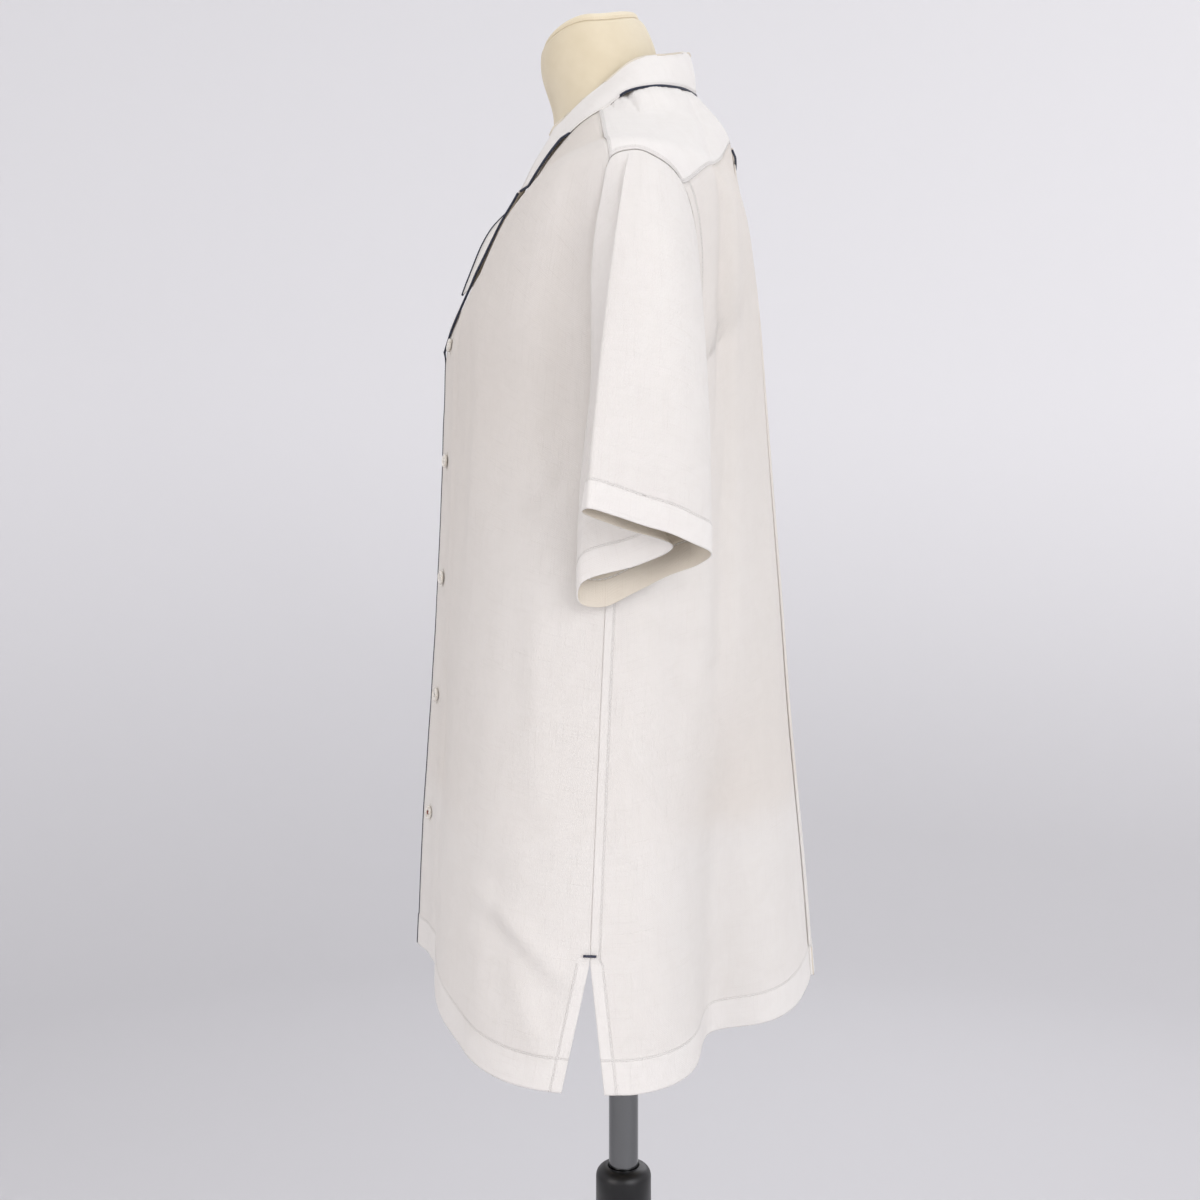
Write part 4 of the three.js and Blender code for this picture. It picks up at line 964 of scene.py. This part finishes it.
def rest_on_body(points):
    """Moves points outwards where they are too close to the body for another layer."""
    t, angle = np.meshgrid(np.arange(0.85, 1.0001, 0.005), np.radians(np.arange(-180, 180, 3)))
    spots = body(t, angle).reshape(-1, 3)
    out = outward(body, t, angle).reshape(-1, 3)
    flat = points.reshape(-1, 3)
    nearest = np.argmin(((flat[:, None] - spots[None]) ** 2).sum(-1), 1)
    short = WALL + 2.0 - ((flat - spots[nearest]) * out[nearest]).sum(-1)
    return (flat + out[nearest] * np.maximum(short, 0)[:, None]).reshape(points.shape)


def rolled_under(edge):
    """1 beside the neck, where the leaf lies flat and its cord has rolled under it."""
    return ease((edge[:, 1] + 47) / 6) * ease((-edge[:, 1] - 1) / 6)


def collar_lines(us):
    """Lines along the collar from the leaf's free edge over its fold and down to the neck seam."""
    half = np.where(us <= 0.5, us, 1 - us) * 2 * 8
    sign = np.where(us <= 0.5, 1.0, -1.0)
    flip = np.stack([sign, np.ones_like(sign), np.ones_like(sign)], -1)
    get = {name: read(COLLAR, name, half) for name in COLLAR if name != "t"}
    angle = np.radians(get["seam_angle"])
    ring = np.ones_like(angle)
    seam = body(ring, angle) - outward(body, ring, angle) * (WALL + 0.7) + (0, 0, 2.8)
    fold = np.stack([get["fold_x"], get["fold_y"], get["fold_z"]], -1)
    edge = np.stack([get["edge_x"], get["edge_y"], get["edge_z"]], -1)
    seam, fold, edge = seam * flip, fold * flip, edge * flip
    away = unit((fold + (0, 10, 0)) * (1, 1, 0))
    shoulder = lambda out, down: fold + away * out - np.array([0, 0, down])
    leaf_top = shoulder(2.6, 2.4)
    middle = rest_on_body(mix(edge, leaf_top, 0.5) + away * 1.5)
    lying = rest_on_body(edge) - outward(body, ring, angle) * (1.7 * rolled_under(edge))[:, None]
    return [lying, middle, leaf_top, shoulder(1.3, 0.4), shoulder(-1, 0.4), shoulder(-2.2, 2.6), seam]


def fullness_under_leaf(points):
    """The yoke's rise to the collar leaf, which lies on it from the shoulder seam round the back."""
    leaf = collar_lines(np.linspace(0, 1, 90))[0]
    leaf = leaf[leaf[:, 1] > -24]
    apart = np.linalg.norm(points[..., None, :] - leaf, axis=-1)
    gap = apart.min((0, 1))
    nearest = apart.argmin(-1)
    beyond = apart.min(-1) - gap[nearest]
    rise = np.maximum(gap[nearest] - 2.4, 0) * ease((leaf[nearest, 1] + 23) / 13)
    return rise * ease(1 - beyond / 26)


def make_yoke():
    index = np.concatenate([np.linspace(0, 4, 21), np.linspace(4, 19, 50)[1:], np.linspace(19, 20, 9)[1:]])
    row = np.interp(index, [0, 1, 2, 3, 4], [0, 0.5, 1, 2, 3])
    tip_t, tip_angle = armhole_at(FRONT_CORNER + row)
    corner_angle = armhole_at(YOKE_CORNER)[1]
    pleat = angle_at_x(YOKE_CENTRE, PLEAT_REACH, "back")
    seam_angle = mix(corner_angle, pleat, clamp((index - 4) / BACK_COLUMNS))
    seam_angle = np.where(index > 19, mix(pleat, math.pi, index - 19), seam_angle)
    outer_t = np.where(index <= 4, tip_t, yoke_seam_ring(np.minimum(seam_angle, pleat)))
    outer_angle = np.where(index <= 4, tip_angle, seam_angle)
    neck_angle = mix(NECK_SEAM, math.pi, (index / 20) ** 1.1)
    outer_t, outer_angle, neck_angle = (
        np.concatenate([a, b]) for a, b in (
            (outer_t, outer_t[:-1][::-1]),
            (outer_angle, 2 * math.pi - outer_angle[:-1][::-1]),
            (neck_angle, 2 * math.pi - neck_angle[:-1][::-1]),
        )
    )
    v = np.concatenate([[0, 0.012, 0.03], np.linspace(0.06, 1, 22)])[:, None]
    t = mix(outer_t[None], 1, v)
    angle = mix(outer_angle[None], neck_angle[None], v)
    points = body(t, angle)
    up = run_lengths(points, 0)
    across = run_lengths(points, 1)
    from_front = np.minimum(across, across[:, -1:] - across)
    edge = np.minimum(up, from_front)
    lift = 0.75 * ease(edge / 1.6) + rumple(points, 40, 0.5, 9.0) * ease(edge / 12)
    points = points + normals_of(points) * (lift + fullness_under_leaf(points))[..., None]
    facts = stitched(up - 2.2, from_front - 2.2, across, up, 1.0)
    cloth("yoke", points, ("yoke",), facts)


make_yoke()


def make_collar():
    us = np.linspace(0, 1, 150)
    us = np.concatenate([[0, 0.004], us[1:-1], [0.996, 1]])
    points = smooth_between(collar_lines(us), 7)
    up = run_lengths(points, 0)
    across = run_lengths(points, 1)
    soft = rumple(points, 34, 0.5, 4.4) * ease(up / 10) * ease((up[-1:] - up) / 12)
    points = points + normals_of(points) * soft[..., None]
    from_end = np.minimum(across, across[:, -1:] - across)
    facts = stitched(up - 1.6, from_end - 1.8, across, up, 1.0)
    cloth("collar", points, ("collar",), facts)
    return points, normals_of(points)


collar, collar_normals = make_collar()


def loop_curve(knots, w):
    """A closed centripetal curve through the knots, at shares w of the way round."""
    knots = np.asarray(knots, float)
    count = len(knots)
    at = np.asarray(w) * count
    i = np.floor(at).astype(int)
    f = (at - i)[:, None]
    a, b, c, d = (knots[(i + o) % count] for o in (-1, 0, 1, 2))
    ab, bc, cd = (np.linalg.norm(q - p, axis=-1, keepdims=True) ** 0.5 for p, q in ((a, b), (b, c), (c, d)))
    leave = ((b - a) / ab - (c - a) / (ab + bc) + (c - b) / bc) * bc
    arrive = ((c - b) / bc - (d - b) / (bc + cd) + (d - c) / cd) * bc
    return b + leave * f + (3 * (c - b) - 2 * leave - arrive) * f**2 + (2 * (b - c) + leave + arrive) * f**3


def make_sleeve(name, side):
    around = 150
    w = (np.arange(around) / around) if side < 0 else ((around - np.arange(around)) % around) / around
    rows = [row[0] for row in SLEEVE] + [SLEEVE[0][0] - ARMHOLE_ROWS]
    row = np.mod(np.interp(w * len(SLEEVE), np.arange(len(rows)), rows), ARMHOLE_ROWS)
    t, angle = armhole_at(row)
    top = body(t, side * angle)
    top[:, 0] *= side
    inwards = np.array([214, 4, 1338]) - top
    inwards[:, 0] = 0
    top = top + unit(inwards) * 0.5 + (0.5, 0, 0)
    middle, hem = loop_curve([r[1] for r in SLEEVE], w), loop_curve([r[2] for r in SLEEVE], w)
    bend = 2 * middle - (top + hem) / 2
    cuff = [0.912, 0.917, 0.922, 0.94, 0.97, 0.996, 1]
    down = np.concatenate([[0, 0.004], np.linspace(0.012, 0.9, 62), cuff])
    v = down[::-1][:, None, None]
    points = (1 - v) ** 2 * top[None] + 2 * v * (1 - v) * bend[None] + v**2 * hem[None]
    points[..., 0] *= side
    up = run_lengths(points, 0)
    across = run_lengths(points, 1)
    normal = normals_of(points, closed=True)
    to_top = up[-1:] - up
    band = ease((20.6 - up) / 1.4)
    soft = rumple(points, 36, 0.9, 7.7 + side) * ease(to_top / 25)
    head = 1.1 * ease(to_top / 2.5) * ease((20 - to_top) / 16)
    # The pressed crease from the top of the sleeve head to the front corner of the cuff
    from_crease = (np.mod(w - 2 / len(SLEEVE) + 0.5, 1) - 0.5)[None] * 420
    fall = np.where(from_crease < 0, 22.0, 9.0)
    crease = 3.4 * np.exp(-np.abs(from_crease) / fall) * ease(to_top / 18)
    points = points + normal * (soft + head + 0.5 * band + crease)[..., None]
    facts = stitched(up - 19.6, NO_ROW, across, up, band)
    cloth(name, points, (name,), facts, closed=True)


make_sleeve("left_sleeve", 1)
make_sleeve("right_sleeve", -1)

# Piping, loop, buttons and threads


def beside_edge(edge, neighbour, normal, room=0.2):
    """A line in the middle of the cloth's thickness, just off its edge."""
    away = edge - neighbour
    away = unit(away - normal * (away * normal).sum(-1, keepdims=True))
    return edge - normal * WALL / 2 + away * (PIPING / 2 + room)


def edge_path(points, normals, edge, step):
    return beside_edge(points[:, edge], points[:, edge + step], normals[:, edge])


left_edge = edge_path(left_front, left_front_normals, 0, 2)
right_edge = edge_path(right_front, right_front_normals, -1, -2)
left_turned = edge_path(left_lapel, left_lapel_normals, -1, -2)
right_turned = edge_path(right_lapel, right_lapel_normals, 0, 2)
CORD_TURNS = 1306  # height at which the front's cord passes over to the lapel's edge
below = left_edge[:, 2] < CORD_TURNS
crossing = mix(left_edge[below][-1], left_turned[0], 0.45) + (-0.5, -2.6, 0)
left_path = np.concatenate([left_edge[below], [crossing], left_turned[1:]])
right_path = right_edge[right_edge[:, 2] < CORD_TURNS]
collar_edge = beside_edge(collar[0], collar[2], collar_normals[0])
rolled = rolled_under(collar_edge)
collar_edge -= collar_normals[0] * (1.6 * rolled)[:, None]
collar_edge += unit(collar[2] - collar[0]) * (5.5 * rolled)[:, None]
for name, path in (
    ("left_front", left_path), ("right_front", right_path), ("right_lapel", right_turned),
    ("collar", collar_edge),
):
    tube(name + "_piping_cord", path, PIPING / 2, piping, nodes=(name + "_piping",))


def make_hanger_loop():
    xs = np.concatenate([np.linspace(-36, -20, 9), np.linspace(-14, 14, 9), np.linspace(20, 36, 9)])
    t = YOKE_CENTRE - 0.006
    droop = 11 * (1 - (xs / 36) ** 2)
    spot = body(t - droop / 900, angle_at_x(t + 0 * xs, xs, "back"))
    lift = 0.7 + 1.6 * ease((38 - np.abs(xs)) / 12)
    path = spot + outward(plain_body, t + 0 * xs, math.pi + 0 * xs) * lift[:, None]
    tube("hanger_loop_cord", path, 1.0, piping, nodes=("hanger_loop",))


make_hanger_loop()


# The button's turned disc, with a raised rim and a dished face
BUTTON_PROFILE = (
    (0, 0), (4.9, 0), (5.5, 0.35), (5.75, 1.0), (5.72, 1.7), (5.4, 2.3), (4.95, 2.6), (4.5, 2.5),
    (4.1, 2.1), (3.6, 1.9), (2.6, 1.8), (0, 1.75),
)
HOLES = ((1.35, 1.35), (-1.35, 1.35), (-1.35, -1.35), (1.35, -1.35))


def drilled(mesh):
    """The button's mesh with four thread holes through it."""
    drills = bmesh.new()
    for x, y in HOLES:
        where = Matrix.Translation((x * MM, y * MM, 1.3 * MM))
        bmesh.ops.create_cone(drills, cap_ends=True, segments=14, radius1=0.75 * MM, radius2=0.75 * MM,
                              depth=6 * MM, matrix=where)
    drill_mesh = bpy.data.meshes.new("drills")
    drills.to_mesh(drill_mesh)
    drills.free()
    disc = bpy.data.objects.new("disc", mesh)
    drill = bpy.data.objects.new("drill", drill_mesh)
    for obj in (disc, drill):
        bpy.context.collection.objects.link(obj)
    cut = disc.modifiers.new("Holes", "BOOLEAN")
    cut.object = drill
    cut.operation = "DIFFERENCE"
    cut.solver = "EXACT"
    evaluated = disc.evaluated_get(bpy.context.evaluated_depsgraph_get())
    result = bpy.data.meshes.new_from_object(evaluated)
    for obj in (disc, drill):
        bpy.data.objects.remove(obj)
    return result


def place_on_front(height):
    """Where a button lies on the left front: a point on the cloth and a turned frame there."""
    target = np.array([BUTTON_ACROSS, 0, height])
    gap = np.hypot(left_front[..., 0] - target[0], left_front[..., 2] - target[2])
    j, i = np.unravel_index(np.argmin(gap), gap.shape)
    out = Vector(left_front_normals[j, i])
    across = Vector((1, 0, 0)) - out * out.x
    across.normalize()
    turn = Matrix((across, out.cross(across), out)).transposed().to_4x4()
    spot = left_front[j, i] + np.array([BUTTON_ACROSS - left_front[j, i, 0], 0, height - left_front[j, i, 2]])
    return Matrix.Translation(Vector(spot) * MM) @ turn


def make_buttons():
    bm = spun(BUTTON_PROFILE, 40)
    mesh = bpy.data.meshes.new("button")
    bm.to_mesh(mesh)
    bm.free()
    disc = drilled(mesh)
    for i, height in enumerate(BUTTON_HEIGHTS, 1):
        place = place_on_front(height)
        bm = bmesh.new()
        bm.from_mesh(disc)
        bmesh.ops.transform(bm, matrix=place @ Matrix.Translation((0, 0, 0.9 * MM)), verts=bm.verts)
        button = new_piece(f"button_{i}_disc", bm, (shell,), nodes=(f"button_{i}",))
        button.data.set_sharp_from_angle(angle=math.radians(45))
        thread = red_thread if i == 5 else white_thread
        for k in (0, 1):
            (ax, ay), (bx, by) = HOLES[k], HOLES[k + 2]
            local = [(ax, ay, 0.6), (ax, ay, 2.4), (ax * 0.8, ay * 0.8, 3.0), (0, 0, 3.15 + 0.25 * k),
                     (bx * 0.8, by * 0.8, 3.0), (bx, by, 2.4), (bx, by, 0.6)]
            path = [np.array(place @ (Vector(p) * MM)) / MM for p in local]
            tube(f"button_{i}_thread_{k + 1}", path, 0.42, thread, sides=8)
        # The buttonhole's stitched lips stand up and down beyond the button
        lips = []
        for turn in np.linspace(0, 2 * math.pi, 28):
            flat = (1.0 * math.cos(turn), 6.3 * math.sin(turn) + 1.0 * math.tanh(3 * math.sin(turn)), 0.35)
            lips.append(np.array(place @ (Vector(flat) * MM)) / MM)
        tube(f"buttonhole_{i}", lips, 0.55, white_thread, sides=8)


make_buttons()


def make_bar_tacks():
    """Dense bars of navy thread that hold the top of each vent."""
    for name, side in (("left", 1), ("right", -1)):
        t = VENT_TOP + 0.006
        angle = angle_at_y(t, np.array([-31.5, -29.5, -27.0, -24.5, -22.5]))
        spots = body(t + 0 * angle, side * angle)
        path = spots + outward(body, t + 0 * angle, side * angle) * 1.3
        tube(f"{name}_vent_bar_tack", path, 0.9, navy_thread, sides=8)


make_bar_tacks()

# The stand


def rounded(r, z, radius, start, end, steps=8):
    turns = np.radians(np.linspace(start, end, steps))
    return [(r + radius * math.cos(a), z + radius * math.sin(a)) for a in turns]


def make_stand():
    profile = [(0, 380), (11.5, 380), (12.5, 381), (12.5, 1014.6), (0, 1014.6)]
    turned("chrome_pole", profile, chrome, "pole", ("pole",))
    bore, outer, top, bottom = 12.85, 23.4, 622, 556
    profile = [(16.35, bottom), (outer - 1.5, bottom)] + rounded(outer - 1.5, bottom + 1.5, 1.5, -80, 0, 5)
    profile += [(outer, 590), (outer - 0.5, 590.6), (outer - 0.5, 592), (outer, 592.6)]
    profile += rounded(outer - 9, top - 9, 9, 0, 80, 10)
    profile += [(13.6, top), (bore, top - 0.8), (bore, bottom + 40), (16.35, bottom + 40), (16.35, bottom)]
    turned("clamp_collar_shell", profile, black_plastic, "stand", ("clamp_collar",))
    profile = [(13.2, 22.3), (16, 22.3), (16, 595), (15.4, 595.6), (13.2, 595.6), (13.2, 22.3)]
    turned("coated_stand_tube", profile, black_coat, "stand", ("stand_tube",))
    profile = [(0, 0), (197, 0)] + rounded(197, 3, 3, -90, 0, 6) + rounded(196, 5, 4, 0, 80, 8)
    profile += [(190, 9.3), (140, 12), (80, 15), (46, 17.2), (40, 18), (37, 19.6), (34.5, 21.4)]
    profile += [(33, 22), (0, 22)]
    turned("coated_base", profile, black_coat, "stand", ("base",), segments=128)


make_stand()

# Studio


def make_studio():
    profile = [(0, -0.5), (2600, -0.5)]
    profile += [
        (2600 + 1200 * math.sin(a), 1199.5 - 1200 * math.cos(a)) for a in np.linspace(0.1, math.pi / 2, 14)
    ]
    bm = spun(profile + [(3800, 4199.5)], 96)
    mesh = bpy.data.meshes.new("studio")
    bm.to_mesh(mesh)
    bm.free()
    mesh.polygons.foreach_set("use_smooth", [True] * len(mesh.polygons))
    mesh.materials.append(studio_material())
    studio = bpy.data.objects.new("studio", mesh)
    bpy.context.collection.objects.link(studio)


CHEST = (0, 0, 1.15)  # every lamp is turned towards it


def add_light(name, where, size, power, colour):
    data = bpy.data.lights.new(name, "AREA")
    data.shape = "RECTANGLE"
    data.size, data.size_y = size
    data.energy = power
    data.color = hex_colour(colour)[:3]
    obj = bpy.data.objects.new(name, data)
    obj.location = where
    obj.rotation_euler = (Vector(CHEST) - Vector(where)).to_track_quat("-Z", "Y").to_euler()
    bpy.context.collection.objects.link(obj)


def make_lights():
    world = bpy.data.worlds.new("studio air")
    bpy.context.scene.world = world
    world.use_nodes = True
    back = world.node_tree.nodes["Background"]
    back.inputs["Color"].default_value = hex_colour("EFEFF1")
    back.inputs["Strength"].default_value = 0.75
    bpy.context.scene.view_settings.view_transform = "Standard"
    add_light("window light", (3.0, 1.9, 2.0), (2.6, 2.0), 60, "FCFCFF")
    add_light("front fill", (2.2, -2.4, 1.7), (1.8, 1.8), 27, "FFFAF8")
    add_light("top light", (-0.2, 0.1, 3.4), (2.2, 2.2), 11, "F7F9FF")
    add_light("far side light", (-2.2, 0.9, 2.2), (1.8, 1.8), 16, "FBFBFF")


def make_camera():
    data = bpy.data.cameras.new("photo camera")
    data.sensor_width = 36
    # In pixels the photo is 1200 wide, its focal length about 1529, and its horizon 100 over the middle
    data.lens = data.sensor_width * 1529 / 1200
    data.shift_y = -100 / 1200
    data.clip_start, data.clip_end = 0.05, 60
    camera = bpy.data.objects.new("photo camera", data)
    camera.location = (1.3, -0.02, 1.187)
    camera.rotation_euler = (math.pi / 2, 0, math.pi / 2)
    bpy.context.collection.objects.link(camera)
    bpy.context.scene.camera = camera


make_studio()
make_lights()
make_camera()
